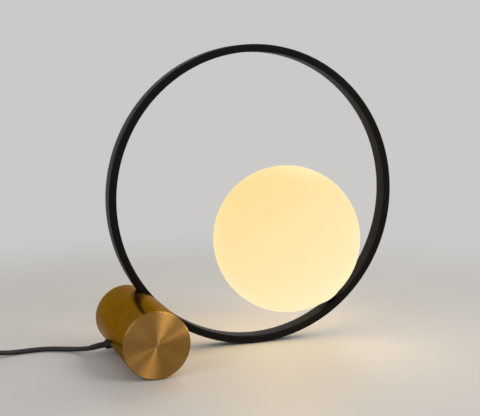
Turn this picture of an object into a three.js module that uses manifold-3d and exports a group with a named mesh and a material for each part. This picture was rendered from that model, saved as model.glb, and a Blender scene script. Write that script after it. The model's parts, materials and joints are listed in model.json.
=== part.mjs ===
// Table lamp: a black hoop stands in a slot across a heavy brass cylinder, and an opal
// glass globe hangs inside the hoop on a twist-lock collar.
// Millimetres, +Z up. The origin is on the table under the hoop's lowest point, X runs
// along the hoop towards the globe and Y along the brass cylinder towards its back end.
import * as THREE from 'three';
import { mergeVertices } from 'three/addons/utils/BufferGeometryUtils.js';
import Module from 'manifold-3d';

const wasm = await Module();
wasm.setup();

// Clearances shared by every piece
const gap = 0.3;
const overrun = 2;
const weld_distance = 1e-4;

// Hoop, a rolled rectangular tube
const hoop_outer_r = 200;
const hoop_thick = 10;
const hoop_depth = 22.5;
const hoop_wall = 1.5;
const hoop_steps = 96;
const hoop_wire_r = 1.5;
const wire_sides = 6;
const wire_hole_r = 2.8;

// Brass cylinder, measured from the hoop's middle plane to each end
const base_r = 41.4;
const base_front = 119;
const base_rear = 39;
const barrel_wall = 3;
const cap_thick = 4;
const cap_chamfer = 0.7;
const spigot_length = 6;
const ring_section_r = 0.8;
const ring_groove_depth = 1.8;
const ballast_clearance = 0.4;
const ballast_wall = 16;
const clamp_half_length = 20;
const turned_steps = 40;

// Rubber feet
const foot_stand = 0.8;
const foot_recess = 0.7;
const base_foot_width = 14;
const front_foot_length = 50;
const front_foot_y = -78;
const rear_foot_length = 30;
const rear_foot_y = 15;
const hoop_foot_length = 16;
const hoop_foot_width = 16;

// Chamber and terminal block inside the clamp
const chamber_width = 24;
const chamber_top = 6;
const chamber_floor = 28;
const chamber_front = 14;
const block_width = 18;
const block_length = 26;
const block_height = 10;
const block_hole_r = 1.6;
const block_hole_pitch = 8;
const block_hole_steps = 10;

// Screws that pull the hoop into the clamp
const clamp_screw_r = 2;
const clamp_screw_head_r = 3.5;
const clamp_screw_head = 3;
const clamp_screw_y = 7.2;
const clamp_screw_seat = 17;
const small_steps = 12;

// Globe and its fitting
const globe_r = 100;
const globe_wall = 2.5;
const globe_gap = 12.6;
const globe_neck = 2;
const globe_angle = -52.3 * Math.PI / 180;
const globe_opening_r = 20.4;
const globe_steps = 32;
const globe_rings = 12;
const fitting_steps = 28;
const nipple_r = 5;
const nipple_bore_r = 3;
const nipple_top = 27;
const nipple_steps = 24;
const nut_r = 8;
const nut_thick = 2.8;
const nut_sides = 6;
const foot_ring_r = 7;
const foot_ring_height = 10;
const gallery_inset = 0.8;
const gallery_thick = 2.2;
const hub_r = 14.5;
const hub_top = 22;
const lug_reach = 2.1;
const lug_thick = 3.1;
const lug_count = 3;
const lug_angle = 40 * Math.PI / 180;
const gasket_width = 4;
const gasket_thick = 1.2;
const collar_bond = 0.4;
const collar_top = 25;
const collar_lug_rise = 1.3;

// Lampholder and tubular bulb
const holder_r = 13.4;
const holder_height = 36;
const holder_wall = 2.5;
const holder_floor = 5.5;
const bulb_cap_r = 7;
const bulb_cap_height = 24;
const bulb_r = 12.5;
const bulb_length = 68;
const bulb_shoulder = 10;
const bulb_steps = 24;

// Mains cord
const cord_r = 3.25;
const cord_sides = 10;
const cord_steps = 9;
const bush_collar_r = 5.6;
const bush_collar_out = 3;
const bush_inside = 13;
const bush_length = 25;
const bush_root_r = 4.9;
const bush_tip_r = 3.9;
const bush_sides = 20;
const bush_rings = 7;
const cord_exit_y = -3;
const cord_exit_z = 16.9;
const lead_r = 3;

// In-line rocker switch
const switch_length = 62;
const switch_width = 26;
const switch_corner_r = 9;
const switch_wall = 2;
const switch_x = -380;
const switch_y = 42;
const switch_split_z = 7;
const switch_top_z = 19;
const window_length = 17;
const window_width = 11.2;
const rocker_length = 15;
const rocker_width = 10.4;
const rocker_height = 7;
const rocker_dip = 1.2;
const rocker_pivot_drop = 3.6;
const rocker_tilt = 8 * Math.PI / 180;
const rocker_curve_steps = 8;
const rocker_pin_r = 1.2;
const pivot_clearance = 0.06;
const rib_thick = 2;
const rib_height = 7.5;
const rib_length = 7;
const switch_boss_r = 3.4;
const switch_boss_x = 23;
const switch_screw_r = 1.3;
const switch_screw_head_r = 2.6;
const switch_screw_head = 1.4;
const switch_screw_length = 11;
const contact_length = 6;
const contact_width = 8;
const contact_height = 5;
const contact_x = 12;

// Coil of the spare cord, its tie and the plug
const coil_turns = 6.25;
const coil_pitch = 7.1;
const coil_mid_r = 37.8;
const coil_x = -453;
const coil_lift = 1.6;
const lead_share = 0.6;
const lead_rise_share = 0.2;
const coil_steps = 24;
const coil_sides = 6;
const tail_length = 44;
const tie_width = 8;
const tie_thick = 1;
const tie_clearance = 0.5;
const tie_corner_r = 4;
const plug_width = 34;
const plug_neck_width = 15;
const plug_thick = 14;
const plug_length = 32;
const plug_corner_r = 4;
const plug_bevel = 1.5;
const plug_relief_length = 22;
const plug_relief_r = 5.5;
const plug_relief_tip_r = 4;
const plug_relief_steps = 20;
const pin_r = 2;
const pin_length = 19;
const pin_pitch = 18.6;
const pin_seat = 6;
const pin_steps = 16;

// Places worked out from the sizes above
const hoop_inner_r = hoop_outer_r - hoop_thick;
const hoop_axis_z = foot_stand + hoop_outer_r;
const base_axis_z = foot_stand + base_r;
const axes_apart = hoop_inner_r + base_r;
const base_axis_x = -Math.sqrt(axes_apart ** 2 - (hoop_axis_z - base_axis_z) ** 2);
const towards_base = new THREE.Vector3(base_axis_x, 0, base_axis_z - hoop_axis_z).normalize();
const base_angle = Math.atan2(towards_base.z, towards_base.x);
const barrel_r = base_r - barrel_wall;
const ballast_r = barrel_r - ballast_clearance;
const foot_flat_z = foot_stand + foot_recess;
const coil_y = switch_y - coil_mid_r - coil_pitch * coil_turns / 4;
const cord_exit = new THREE.Vector3(
  base_axis_x - Math.sqrt(base_r ** 2 - (base_axis_z - cord_exit_z) ** 2), cord_exit_y, cord_exit_z);
const cord_way_shares = [-1, 0.03, -0.06];
const cord_way = new THREE.Vector3(...cord_way_shares).normalize();
const upward = new THREE.Vector3(0, 0, 1);
const rearward = new THREE.Vector3(0, 1, 0);

// Turns a geometry into a closed solid that can be joined and cut
function solid(geometry) {
  const bare = geometry.index ? geometry.toNonIndexed() : geometry.clone();
  for (const name of Object.keys(bare.attributes)) {
    if (name !== 'position') bare.deleteAttribute(name);
  }
  const merged = mergeVertices(bare, weld_distance);
  const index = merged.index.array;
  const kept = [];
  for (let i = 0; i < index.length; i += 3) {
    const [a, b, c] = [index[i], index[i + 1], index[i + 2]];
    if (a !== b && b !== c && c !== a) kept.push(a, b, c);
  }
  return new wasm.Manifold(new wasm.Mesh({
    numProp: 3,
    vertProperties: new Float32Array(merged.attributes.position.array),
    triVerts: new Uint32Array(kept),
  }));
}

function surface(manifold) {
  const mesh = manifold.getMesh();
  const geometry = new THREE.BufferGeometry();
  geometry.setAttribute('position', new THREE.BufferAttribute(mesh.vertProperties, 3));
  geometry.setIndex(new THREE.BufferAttribute(mesh.triVerts, 1));
  return geometry;
}

function cut(geometry, ...cutters) {
  return surface(cutters.reduce((left, cutter) => left.subtract(solid(cutter)), solid(geometry)));
}

function join(geometry, ...others) {
  return surface(others.reduce((whole, other) => whole.add(solid(other)), solid(geometry)));
}

// A body turned about the Y axis, from [radius, y] corners in anticlockwise order
function turned(corners, steps = turned_steps) {
  const points = corners.map(([r, y]) => new THREE.Vector2(r, y));
  points.push(points[0].clone());
  return new THREE.LatheGeometry(points, steps);
}

// A ring or washer about the Y axis
function ring(inner_r, outer_r, low, high, steps = turned_steps) {
  return turned([[inner_r, low], [outer_r, low], [outer_r, high], [inner_r, high]], steps);
}

// A solid cylinder about the Y axis
function rod(r, low, high, steps = turned_steps) {
  return new THREE.CylinderGeometry(r, r, high - low, steps).translate(0, (low + high) / 2, 0);
}

// A box given by its limits along X, Y and Z
function block(x, y, z) {
  const centre = [x, y, z].map(([low, high]) => (low + high) / 2);
  return new THREE.BoxGeometry(x[1] - x[0], y[1] - y[0], z[1] - z[0]).translate(...centre);
}

// Turns a body made about the Y axis so that it lies along a direction
function along(geometry, direction, origin = new THREE.Vector3()) {
  const turn = new THREE.Quaternion().setFromUnitVectors(
    new THREE.Vector3(0, 1, 0), direction.clone().normalize());
  return geometry.applyQuaternion(turn).translate(origin.x, origin.y, origin.z);
}

function rounded(half_x, half_y, r) {
  const shape = new THREE.Shape();
  shape.absarc(half_x - r, half_y - r, r, 0, Math.PI / 2);
  shape.absarc(r - half_x, half_y - r, r, Math.PI / 2, Math.PI);
  shape.absarc(r - half_x, r - half_y, r, Math.PI, Math.PI * 3 / 2);
  shape.absarc(half_x - r, r - half_y, r, Math.PI * 3 / 2, Math.PI * 2);
  return shape;
}

// A flat plate of an outline in X and Y, between two heights
function plate(shape, low, high, curve_steps = 6) {
  const options = { depth: high - low, bevelEnabled: false, curveSegments: curve_steps };
  return new THREE.ExtrudeGeometry(shape, options).translate(0, 0, low);
}

// A closed tube on rings of points, with its own radius at each ring, square to the
// direction given for that ring
function sweep(points, radii, sides, ways = directions(points), first_side = upward) {
  const positions = [];
  const index = [];
  let side = first_side;
  points.forEach((point, i) => {
    side = side.clone().addScaledVector(ways[i], -side.dot(ways[i])).normalize();
    const across = new THREE.Vector3().crossVectors(ways[i], side);
    for (let k = 0; k < sides; k += 1) {
      const turn = (k + 0.5) * 2 * Math.PI / sides;
      const corner = point.clone()
        .addScaledVector(side, radii[i] * Math.cos(turn))
        .addScaledVector(across, radii[i] * Math.sin(turn));
      positions.push(corner.x, corner.y, corner.z);
    }
  });
  for (let i = 0; i + 1 < points.length; i += 1) {
    for (let k = 0; k < sides; k += 1) {
      const next = (k + 1) % sides;
      const [a, b] = [i * sides + k, i * sides + next];
      index.push(a, b, a + sides, b, b + sides, a + sides);
    }
  }
  const last = (points.length - 1) * sides;
  for (let k = 1; k + 1 < sides; k += 1) {
    index.push(0, k + 1, k, last, last + k, last + k + 1);
  }
  const geometry = new THREE.BufferGeometry();
  geometry.setAttribute('position', new THREE.Float32BufferAttribute(positions, 3));
  geometry.setIndex(index);
  return geometry;
}

// The direction at each point of a route, from its neighbours
function directions(points) {
  return points.map((point, i) => {
    const ahead = points[Math.min(i + 1, points.length - 1)];
    return ahead.clone().sub(points[Math.max(i - 1, 0)]).normalize();
  });
}

function finish(colour, roughness, metalness) {
  return { color: colour, roughness, metalness };
}

const finishes = {
  brass: finish(0xa8722c, 0.35, 1),
  black: finish(0x0b0a0a, 0.45, 0.4),
  opal: finish(0xfff0d0, 0.3, 0),
  rubber: finish(0x151515, 0.85, 0),
  steel: finish(0x8c8c90, 0.4, 1),
  plastic: finish(0x0d0d0d, 0.5, 0),
  ceramic: finish(0xe9e6dd, 0.6, 0),
  clear: finish(0xf6f2ea, 0.1, 0),
};

function piece(name, geometry, look) {
  const mesh = new THREE.Mesh(geometry, new THREE.MeshStandardMaterial(finishes[look]));
  mesh.name = name;
  return mesh;
}

function group(place, ...members) {
  const made = new THREE.Group();
  made.position.copy(place);
  members.forEach((member) => made.add(member));
  return made;
}

// The space that the hoop takes in the base, as a cutter about the base's own axis
function hoop_space() {
  const half = hoop_depth / 2 + gap;
  return ring(hoop_inner_r - base_r, hoop_outer_r + gap, -half, half, hoop_steps)
    .translate(-base_axis_x, 0, hoop_axis_z - base_axis_z);
}

function bush_space() {
  const length = bush_inside + bush_collar_out + overrun;
  const hole = rod(bush_collar_r + gap, -bush_inside - gap, length, bush_sides);
  return along(hole, cord_way, cord_exit.clone().sub(base_centre()));
}

function base_centre() {
  return new THREE.Vector3(base_axis_x, 0, base_axis_z);
}

// The flat under the cylinder that a foot sits in
function foot_space(y, length) {
  const half = base_foot_width / 2 + gap;
  const ends = [y - length / 2 - gap, y + length / 2 + gap];
  return block([-half, half], ends, [-base_r - overrun, foot_flat_z - base_axis_z]);
}

function base_barrel() {
  const front = cap_thick + gap - base_front;
  const rear = base_rear - cap_thick - gap;
  return cut(
    ring(barrel_r, base_r, front, rear), hoop_space(), bush_space(),
    foot_space(front_foot_y, front_foot_length), foot_space(rear_foot_y, rear_foot_length));
}

// An end cap with its spigot and seal groove; its face is at y = 0 and it points to +Y
function end_cap() {
  const spigot_r = barrel_r - gap;
  const groove_r = barrel_r - ring_groove_depth - gap;
  const groove_low = cap_thick + spigot_length / 2 - ring_section_r - gap;
  const groove_high = cap_thick + spigot_length / 2 + ring_section_r + gap;
  const end = cap_thick + spigot_length;
  return turned([
    [0, 0], [base_r - cap_chamfer, 0], [base_r, cap_chamfer], [base_r, cap_thick],
    [spigot_r, cap_thick], [spigot_r, groove_low], [groove_r, groove_low],
    [groove_r, groove_high], [spigot_r, groove_high], [spigot_r, end], [0, end],
  ]);
}

// The rubber seal in the cap's groove, placed as the cap is
function cap_seal() {
  const middle_r = (barrel_r * 2 - ring_groove_depth - gap) / 2;
  const middle_y = cap_thick + spigot_length / 2;
  const sides = 6;
  const section = [];
  for (let k = 0; k < sides; k += 1) {
    const turn = k * 2 * Math.PI / sides;
    section.push([middle_r + ring_section_r * Math.cos(turn),
      middle_y + ring_section_r * Math.sin(turn)]);
  }
  return turned(section);
}

// Places a cap or its seal at the front end or, turned round, at the rear end
function at_front(geometry) {
  return geometry.translate(0, -base_front, 0);
}

function at_rear(geometry) {
  return geometry.rotateZ(Math.PI).translate(0, base_rear, 0);
}

// Cast slugs that weigh the cylinder down
function ballast(low, high) {
  return ring(ballast_r - ballast_wall, ballast_r, low, high);
}

const slug_front_end = cap_thick + spigot_length + gap - base_front;
const slug_rear_end = base_rear - cap_thick - spigot_length - gap;

// A rod along the line from the base's axis towards the hoop's centre, at a given y
function towards_hoop(r, low, high, y, steps) {
  const body = rod(r, low, high, steps);
  return along(body, towards_base.clone().negate(), new THREE.Vector3(0, y, 0));
}

function hoop_clamp() {
  const half_chamber = chamber_width / 2;
  const chamber = block(
    [-half_chamber, half_chamber], [-chamber_front, clamp_half_length + overrun],
    [-chamber_floor, chamber_top]);
  const wire = towards_hoop(wire_hole_r, 0, base_r, 0, small_steps);
  const screws = [-clamp_screw_y, clamp_screw_y].flatMap((y) => [
    towards_hoop(clamp_screw_r + gap, 0, base_r, y, small_steps),
    towards_hoop(clamp_screw_head_r + gap, 0, clamp_screw_seat, y, small_steps),
  ]);
  const slug = rod(ballast_r, -clamp_half_length, clamp_half_length);
  return cut(slug, hoop_space(), bush_space(), lead_rod(lead_r + gap), chamber, wire, ...screws);
}

// A screw that goes from the clamp into the hoop's wall
function clamp_screw(y) {
  const tip = base_r - hoop_thick + hoop_wall * 2;
  const seat = clamp_screw_seat - gap;
  return join(
    towards_hoop(clamp_screw_r, seat - clamp_screw_head / 2, tip, y, small_steps),
    towards_hoop(clamp_screw_head_r, seat - clamp_screw_head, seat, y, small_steps));
}

function terminal_block() {
  const half = block_width / 2;
  const floor = gap - chamber_floor;
  const middle = (clamp_half_length - chamber_front) / 2;
  const ends = [middle - block_length / 2, middle + block_length / 2];
  const body = block([-half, half], ends, [floor, floor + block_height]);
  const holes = [-1, 0, 1].map((place) => rod(
    block_hole_r, -block_width, block_width, block_hole_steps)
    .rotateZ(Math.PI / 2)
    .translate(0, middle + place * block_hole_pitch, floor + block_height / 2));
  return cut(body, ...holes);
}

// A cylinder along the stub of cord between the bush's inner end and the terminal block
function lead_rod(r) {
  const from = cord_exit.clone().addScaledVector(cord_way, -bush_inside - gap).sub(base_centre());
  const length = (-block_width / 2 - gap * 2 - from.x) / -cord_way.x;
  return along(rod(r, 0, length, small_steps), cord_way.clone().negate(), from);
}

function base_foot(y, length) {
  const half = base_foot_width / 2;
  return block([-half, half], [y - length / 2, y + length / 2],
    [-base_axis_z, foot_flat_z - gap - base_axis_z]);
}

function base_group() {
  return group(base_centre(),
    piece('base_barrel', base_barrel(), 'brass'),
    piece('front_cap', at_front(end_cap()), 'brass'),
    piece('rear_cap', at_rear(end_cap()), 'brass'),
    piece('front_cap_seal', at_front(cap_seal()), 'rubber'),
    piece('rear_cap_seal', at_rear(cap_seal()), 'rubber'),
    piece('front_ballast', ballast(slug_front_end, -clamp_half_length - gap), 'steel'),
    piece('rear_ballast', ballast(clamp_half_length + gap, slug_rear_end), 'steel'),
    piece('hoop_clamp', hoop_clamp(), 'steel'),
    piece('clamp_screw_front', clamp_screw(-clamp_screw_y), 'steel'),
    piece('clamp_screw_rear', clamp_screw(clamp_screw_y), 'steel'),
    piece('terminal_block', terminal_block(), 'ceramic'),
    piece('inner_lead', lead_rod(lead_r), 'plastic'),
    piece('front_foot', base_foot(front_foot_y, front_foot_length), 'rubber'),
    piece('rear_foot', base_foot(rear_foot_y, rear_foot_length), 'rubber'));
}

// The hoop is a hollow ring about its own axis, with a hole for the globe's nipple, one
// for the wire, two for the clamp screws and a flat for its foot
function hoop_tube() {
  const half = hoop_depth / 2;
  const cavity = ring(hoop_inner_r + hoop_wall, hoop_outer_r - hoop_wall,
    hoop_wall - half, half - hoop_wall, hoop_steps);
  const to_globe = new THREE.Vector3(Math.cos(globe_angle), 0, Math.sin(globe_angle));
  const nipple = along(
    rod(nipple_r + gap, hoop_inner_r - overrun, hoop_inner_r + hoop_wall + overrun, fitting_steps),
    to_globe);
  const wall_r = [hoop_outer_r - hoop_wall - overrun, hoop_outer_r + overrun];
  const base_holes = [[wire_hole_r, 0], [clamp_screw_r + gap, -clamp_screw_y],
    [clamp_screw_r + gap, clamp_screw_y]].map(([r, y]) => along(
    rod(r, ...wall_r, small_steps), towards_base, new THREE.Vector3(0, y, 0)));
  const flat_half = hoop_foot_length / 2 + gap;
  const flat = block([-flat_half, flat_half], [-hoop_depth, hoop_depth],
    [-hoop_outer_r - overrun, foot_flat_z - hoop_axis_z]);
  return cut(ring(hoop_inner_r, hoop_outer_r, -half, half, hoop_steps),
    cavity, nipple, ...base_holes, flat);
}

function hoop_foot() {
  const [half_x, half_y] = [hoop_foot_length / 2, hoop_foot_width / 2];
  return block([-half_x, half_x], [-half_y, half_y], [-hoop_axis_z, foot_flat_z - gap - hoop_axis_z]);
}

// The wire goes up from the terminal block, through the clamp and the hoop's wall, and
// round inside the hoop to the nipple's end. Its points are about the hoop's centre.
function hoop_wire() {
  const rest_r = hoop_outer_r - hoop_wall - hoop_wire_r - gap;
  const base_middle = towards_base.clone().multiplyScalar(axes_apart);
  const block_top = gap * 2 - chamber_floor + block_height;
  const outward = (r, side) => towards_base.clone().multiplyScalar(r)
    .addScaledVector(new THREE.Vector3(-towards_base.z, 0, towards_base.x), side);
  const points = [
    base_middle.clone().setZ(base_middle.z + block_top),
    base_middle.clone().setZ(base_middle.z - chamber_top),
    outward(axes_apart - chamber_top, 0),
  ];
  const bend_r = hoop_wire_r * 2;
  const bend_steps = 4;
  for (let i = 0; i <= bend_steps; i += 1) {
    const turn = i * Math.PI / 2 / bend_steps;
    points.push(outward(rest_r + bend_r * (1 - Math.sin(turn)), bend_r * (1 - Math.cos(turn))));
  }
  const first = base_angle + bend_r / rest_r;
  const steps = 24;
  for (let i = 1; i <= steps; i += 1) {
    const angle = first + (globe_angle - first) * i / steps;
    points.push(new THREE.Vector3(rest_r * Math.cos(angle), 0, rest_r * Math.sin(angle)));
  }
  return sweep(points, points.map(() => hoop_wire_r), wire_sides, directions(points), rearward);
}

function hoop_group() {
  return group(new THREE.Vector3(0, 0, hoop_axis_z),
    piece('hoop', hoop_tube(), 'black'),
    piece('hoop_wire', hoop_wire(), 'plastic'),
    piece('hoop_foot', hoop_foot(), 'rubber'));
}

// The globe's fitting is turned about its own Y axis, which starts on the hoop's inner
// face and points at the hoop's centre
const foot_ring_low = hoop_inner_r - Math.sqrt(hoop_inner_r ** 2 - foot_ring_r ** 2) + gap;
const gallery_low = foot_ring_low + foot_ring_height + gap;
const gallery_high = gallery_low + gallery_thick;
const gasket_low = gallery_high + gap;
const gallery_r = globe_opening_r - gallery_inset;
const collar_low = gasket_low + gasket_thick + gap;
const collar_inner_r = hub_r + lug_reach + gap * 2;
const gallery_lug_low = hub_top - lug_thick;

// Lugs round a ring, which cut through it a little so that they join it
function lugs(inner_r, outer_r, low, high) {
  const made = [];
  for (let i = 0; i < lug_count; i += 1) {
    const from = i * 2 * Math.PI / lug_count;
    const shape = new THREE.Shape();
    shape.absarc(0, 0, outer_r, from, from + lug_angle);
    shape.absarc(0, 0, inner_r, from + lug_angle, from, true);
    made.push(plate(shape, low, high).rotateX(-Math.PI / 2));
  }
  return made;
}

function gallery() {
  const bore_r = nipple_r + gap;
  const body = turned([
    [bore_r, gallery_low], [gallery_r, gallery_low], [gallery_r, gallery_high],
    [hub_r, gallery_high], [hub_r, hub_top], [bore_r, hub_top],
  ], fitting_steps);
  return join(body, ...lugs(hub_r - gap * 2, hub_r + lug_reach, gallery_lug_low, hub_top));
}

// The collar is bonded inside the globe's neck and turns with it
function globe_collar() {
  const collar_r = globe_opening_r - collar_bond;
  const body = ring(collar_inner_r, collar_r, collar_low, collar_top, fitting_steps);
  const lug_high = gallery_lug_low - gap;
  const lug_low = lug_high - collar_lug_rise - gap * 4;
  return join(body, ...lugs(hub_r + gap * 2, collar_inner_r + gap * 2, lug_low, lug_high));
}

// Corners on a sphere about the globe's centre, from a small circle round its opening to
// the far side
function globe_arc(r, opening_r) {
  const start = Math.asin(opening_r / r);
  const corners = [];
  for (let i = 0; i < globe_rings; i += 1) {
    const angle = start + (Math.PI - start) * i / globe_rings;
    corners.push([r * Math.sin(angle), globe_gap + globe_r - r * Math.cos(angle)]);
  }
  corners.push([0, globe_gap + globe_r + r]);
  return corners;
}

// The glass shell with its short neck
function globe_shell() {
  const neck_r = globe_opening_r + globe_wall;
  const neck_end = globe_gap - globe_neck;
  const inside = globe_arc(globe_r - globe_wall, globe_opening_r).reverse();
  return turned([[neck_r, neck_end], ...globe_arc(globe_r, neck_r), ...inside,
    [globe_opening_r, neck_end]], globe_steps);
}

function nipple() {
  return ring(nipple_bore_r, nipple_r, -hoop_wall - nut_thick - gap * 2, nipple_top, nipple_steps);
}

function hoop_nut() {
  const high = -hoop_wall - gap;
  return cut(rod(nut_r, high - nut_thick, high, nut_sides),
    rod(nipple_r + gap, high - nut_thick - overrun, high + overrun, fitting_steps));
}

function lampholder() {
  const low = hub_top + gap;
  const inner_r = holder_r - holder_wall;
  return turned([
    [nipple_r + gap, low], [holder_r, low], [holder_r, low + holder_height],
    [inner_r, low + holder_height], [inner_r, low + holder_floor],
    [nipple_r + gap, low + holder_floor],
  ], fitting_steps);
}

// The bulb's cap rests on the holder's floor and the glass stands on the cap
const cap_low = hub_top + gap + holder_floor + gap;

function bulb_cap() {
  return rod(bulb_cap_r, cap_low, cap_low + bulb_cap_height, bulb_steps);
}

function bulb_glass() {
  const low = cap_low + bulb_cap_height + gap;
  const high = low + bulb_length;
  const waist_r = holder_r - holder_wall - gap;
  const shoulder = low + bulb_shoulder;
  const corners = [[0, low], [waist_r, low], [waist_r, shoulder], [bulb_r, shoulder + bulb_shoulder]];
  const dome_steps = 6;
  for (let i = 0; i <= dome_steps; i += 1) {
    const angle = i * Math.PI / 2 / dome_steps;
    corners.push([bulb_r * Math.cos(angle), high - bulb_r + bulb_r * Math.sin(angle)]);
  }
  corners[corners.length - 1][0] = 0;
  return turned(corners, bulb_steps);
}

function fitting_group() {
  const inward = new THREE.Vector3(-Math.cos(globe_angle), 0, -Math.sin(globe_angle));
  const start = inward.clone().multiplyScalar(-hoop_inner_r);
  const made = group(start.add(new THREE.Vector3(0, 0, hoop_axis_z)),
    piece('fitting_foot', ring(nipple_r + gap, foot_ring_r, foot_ring_low,
      foot_ring_low + foot_ring_height, fitting_steps), 'black'),
    piece('gallery', gallery(), 'black'),
    piece('nipple', nipple(), 'steel'),
    piece('hoop_nut', hoop_nut(), 'steel'),
    piece('collar_gasket', ring(gallery_r - gasket_width, gallery_r, gasket_low,
      gasket_low + gasket_thick, fitting_steps), 'rubber'),
    piece('globe_collar', globe_collar(), 'black'),
    piece('globe', globe_shell(), 'opal'),
    piece('lampholder', lampholder(), 'ceramic'),
    piece('bulb_cap', bulb_cap(), 'steel'),
    piece('bulb', bulb_glass(), 'clear'));
  made.quaternion.setFromUnitVectors(new THREE.Vector3(0, 1, 0), inward);
  return made;
}

// Cord route from the cylinder to the switch, whose first stretch is in the bush
const cord_points = [
  [-201.4, -3, 16.9], [-208.1, -2.1, 16.2], [-214.4, 0.5, 14.6], [-219.8, 4.6, 12.4],
  [-224, 10.2, 9.9], [-227.9, 16.8, 7.7], [-232.2, 23.6, 5.9], [-238, 30, 4.5],
  [-245.6, 35.7, 3.7], [-255, 40.8, 3.5], [-264.6, 44.8, 3.5], [-275, 47.9, 3.4],
  [-286, 49, 3.4], [-298, 48.4, 3.4], [-310, 46.8, 3.5], [-321, 44.8, 4.1],
  [-331, 43, 5.3], [-339.6, 42.1, 6.6], [-344.4, 42, 7],
];

// The free cord from the cylinder's face to the switch, as one curve
function cord_curve() {
  const points = cord_points.map((place) => new THREE.Vector3(...place));
  points.push(new THREE.Vector3(switch_x + switch_length / 2 + gap, switch_y, switch_split_z));
  return new THREE.CatmullRomCurve3(points, false, 'centripetal');
}

// A stretch of a curve, between two lengths along it
class Stretch extends THREE.Curve {
  constructor(whole, from, to) {
    super();
    this.whole = whole;
    this.from_share = from / whole.getLength();
    this.to_share = to / whole.getLength();
  }

  getPoint(share, target) {
    const along_share = this.from_share + (this.to_share - this.from_share) * share;
    return this.whole.getPointAt(along_share, target);
  }
}

// The bush: straight through the wall, then a tapered relief that bends with the cord
function cord_bush() {
  const collar = [-bush_inside, bush_collar_out].map(
    (reach) => cord_exit.clone().addScaledVector(cord_way, reach));
  const relief = new Stretch(cord_curve(), bush_collar_out + gap, bush_length);
  const bent = relief.getPoints(bush_rings);
  const ways = [cord_way, cord_way, ...bent.map((point, i) => relief.getTangent(i / bush_rings))];
  const radii = bent.map((point, i) => bush_root_r + (bush_tip_r - bush_root_r) * i / bush_rings);
  return sweep([...collar, ...bent], [bush_collar_r, bush_collar_r, ...radii], bush_sides, ways);
}

// A round section for an extruded cord, its corners on the cord's radius
function cord_section() {
  const shape = new THREE.Shape();
  for (let k = 0; k < cord_sides; k += 1) {
    const turn = (k + 0.5) * 2 * Math.PI / cord_sides;
    const place = [cord_r * Math.cos(turn), cord_r * Math.sin(turn)];
    if (k === 0) shape.moveTo(...place);
    else shape.lineTo(...place);
  }
  return shape;
}

function cord_lead() {
  const whole = cord_curve();
  const path = new Stretch(whole, bush_length + gap, whole.getLength());
  console.log('cord from cylinder to switch, mm:', whole.getLength().toFixed(1));
  return new THREE.ExtrudeGeometry(cord_section(),
    { extrudePath: path, steps: cord_steps, bevelEnabled: false });
}

// The shells of the in-line switch, each hollow, with bosses for two screws
function switch_outline(inset) {
  return rounded(switch_length / 2 - inset, switch_width / 2 - inset, switch_corner_r - inset);
}

function upright(r, low, high, x) {
  return rod(r, low, high, small_steps).rotateX(Math.PI / 2).translate(x, 0, 0);
}

function switch_lower() {
  const shell = cut(plate(switch_outline(0), gap, switch_split_z),
    plate(switch_outline(switch_wall), gap + switch_wall, switch_split_z + overrun));
  const sides = [-switch_boss_x, switch_boss_x];
  const bosses = sides.map((x) => upright(switch_boss_r, gap, switch_split_z, x));
  const holes = sides.flatMap((x) => [
    upright(switch_screw_r + gap, -overrun, switch_split_z + overrun, x),
    upright(switch_screw_head_r + gap, -overrun, gap * 3 + switch_screw_head, x),
  ]);
  return cut(join(shell, ...bosses), ...holes);
}

const pivot_z = switch_top_z - rocker_pivot_drop;
const pin_half_length = window_width / 2 + gap + rib_thick;

function switch_upper() {
  const low = switch_split_z + gap;
  const shell = cut(plate(switch_outline(0), low, switch_top_z),
    plate(switch_outline(switch_wall), low - overrun, switch_top_z - switch_wall));
  const sides = [-switch_boss_x, switch_boss_x];
  const bosses = sides.map((x) => upright(switch_boss_r, low, switch_top_z - switch_wall / 2, x));
  const rib_low = switch_top_z - switch_wall - rib_height;
  const rib_y = window_width / 2 + gap;
  const ribs = [[-rib_y - rib_thick, -rib_y], [rib_y, rib_y + rib_thick]].map((y) => block(
    [-rib_length / 2, rib_length / 2], y, [rib_low, switch_top_z - switch_wall / 2]));
  const window = block([-window_length / 2, window_length / 2],
    [-window_width / 2, window_width / 2], [switch_split_z, switch_top_z + overrun]);
  const pin = rod(rocker_pin_r + pivot_clearance, -pin_half_length - gap,
    pin_half_length + gap, pin_steps).translate(0, 0, pivot_z);
  const holes = sides.map((x) => upright(switch_screw_r + gap, low - overrun,
    gap * 3 + switch_screw_head + switch_screw_length, x));
  return cut(join(shell, ...bosses, ...ribs), window, pin, ...holes);
}

// The rocker rests pressed down on its lamp side, about a pin through its middle
function switch_rocker() {
  const half = rocker_length / 2;
  const top = rocker_height / 2 + rocker_dip;
  const shape = new THREE.Shape();
  shape.moveTo(-half, -rocker_height / 2);
  shape.lineTo(half, -rocker_height / 2);
  shape.lineTo(half, top);
  shape.quadraticCurveTo(0, top - rocker_dip * 2, -half, top);
  const body = plate(shape, -rocker_width / 2, rocker_width / 2, rocker_curve_steps).rotateX(Math.PI / 2);
  const bore = rod(rocker_pin_r + pivot_clearance, -rocker_width, rocker_width, pin_steps);
  return cut(body, bore)
    .rotateY(rocker_tilt).translate(0, 0, pivot_z);
}

function switch_screw(x) {
  const head_low = gap * 3;
  const head_high = head_low + switch_screw_head - gap;
  return join(
    upright(switch_screw_head_r, head_low, head_high, x),
    upright(switch_screw_r, head_low, head_high + switch_screw_length, x));
}

function switch_contact(x) {
  const low = gap * 2 + switch_wall;
  const half_y = contact_width / 2;
  return block([x - contact_length / 2, x + contact_length / 2], [-half_y, half_y],
    [low, low + contact_height]);
}

function rocker_pin() {
  return rod(rocker_pin_r, -pin_half_length, pin_half_length, pin_steps).translate(0, 0, pivot_z);
}

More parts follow.
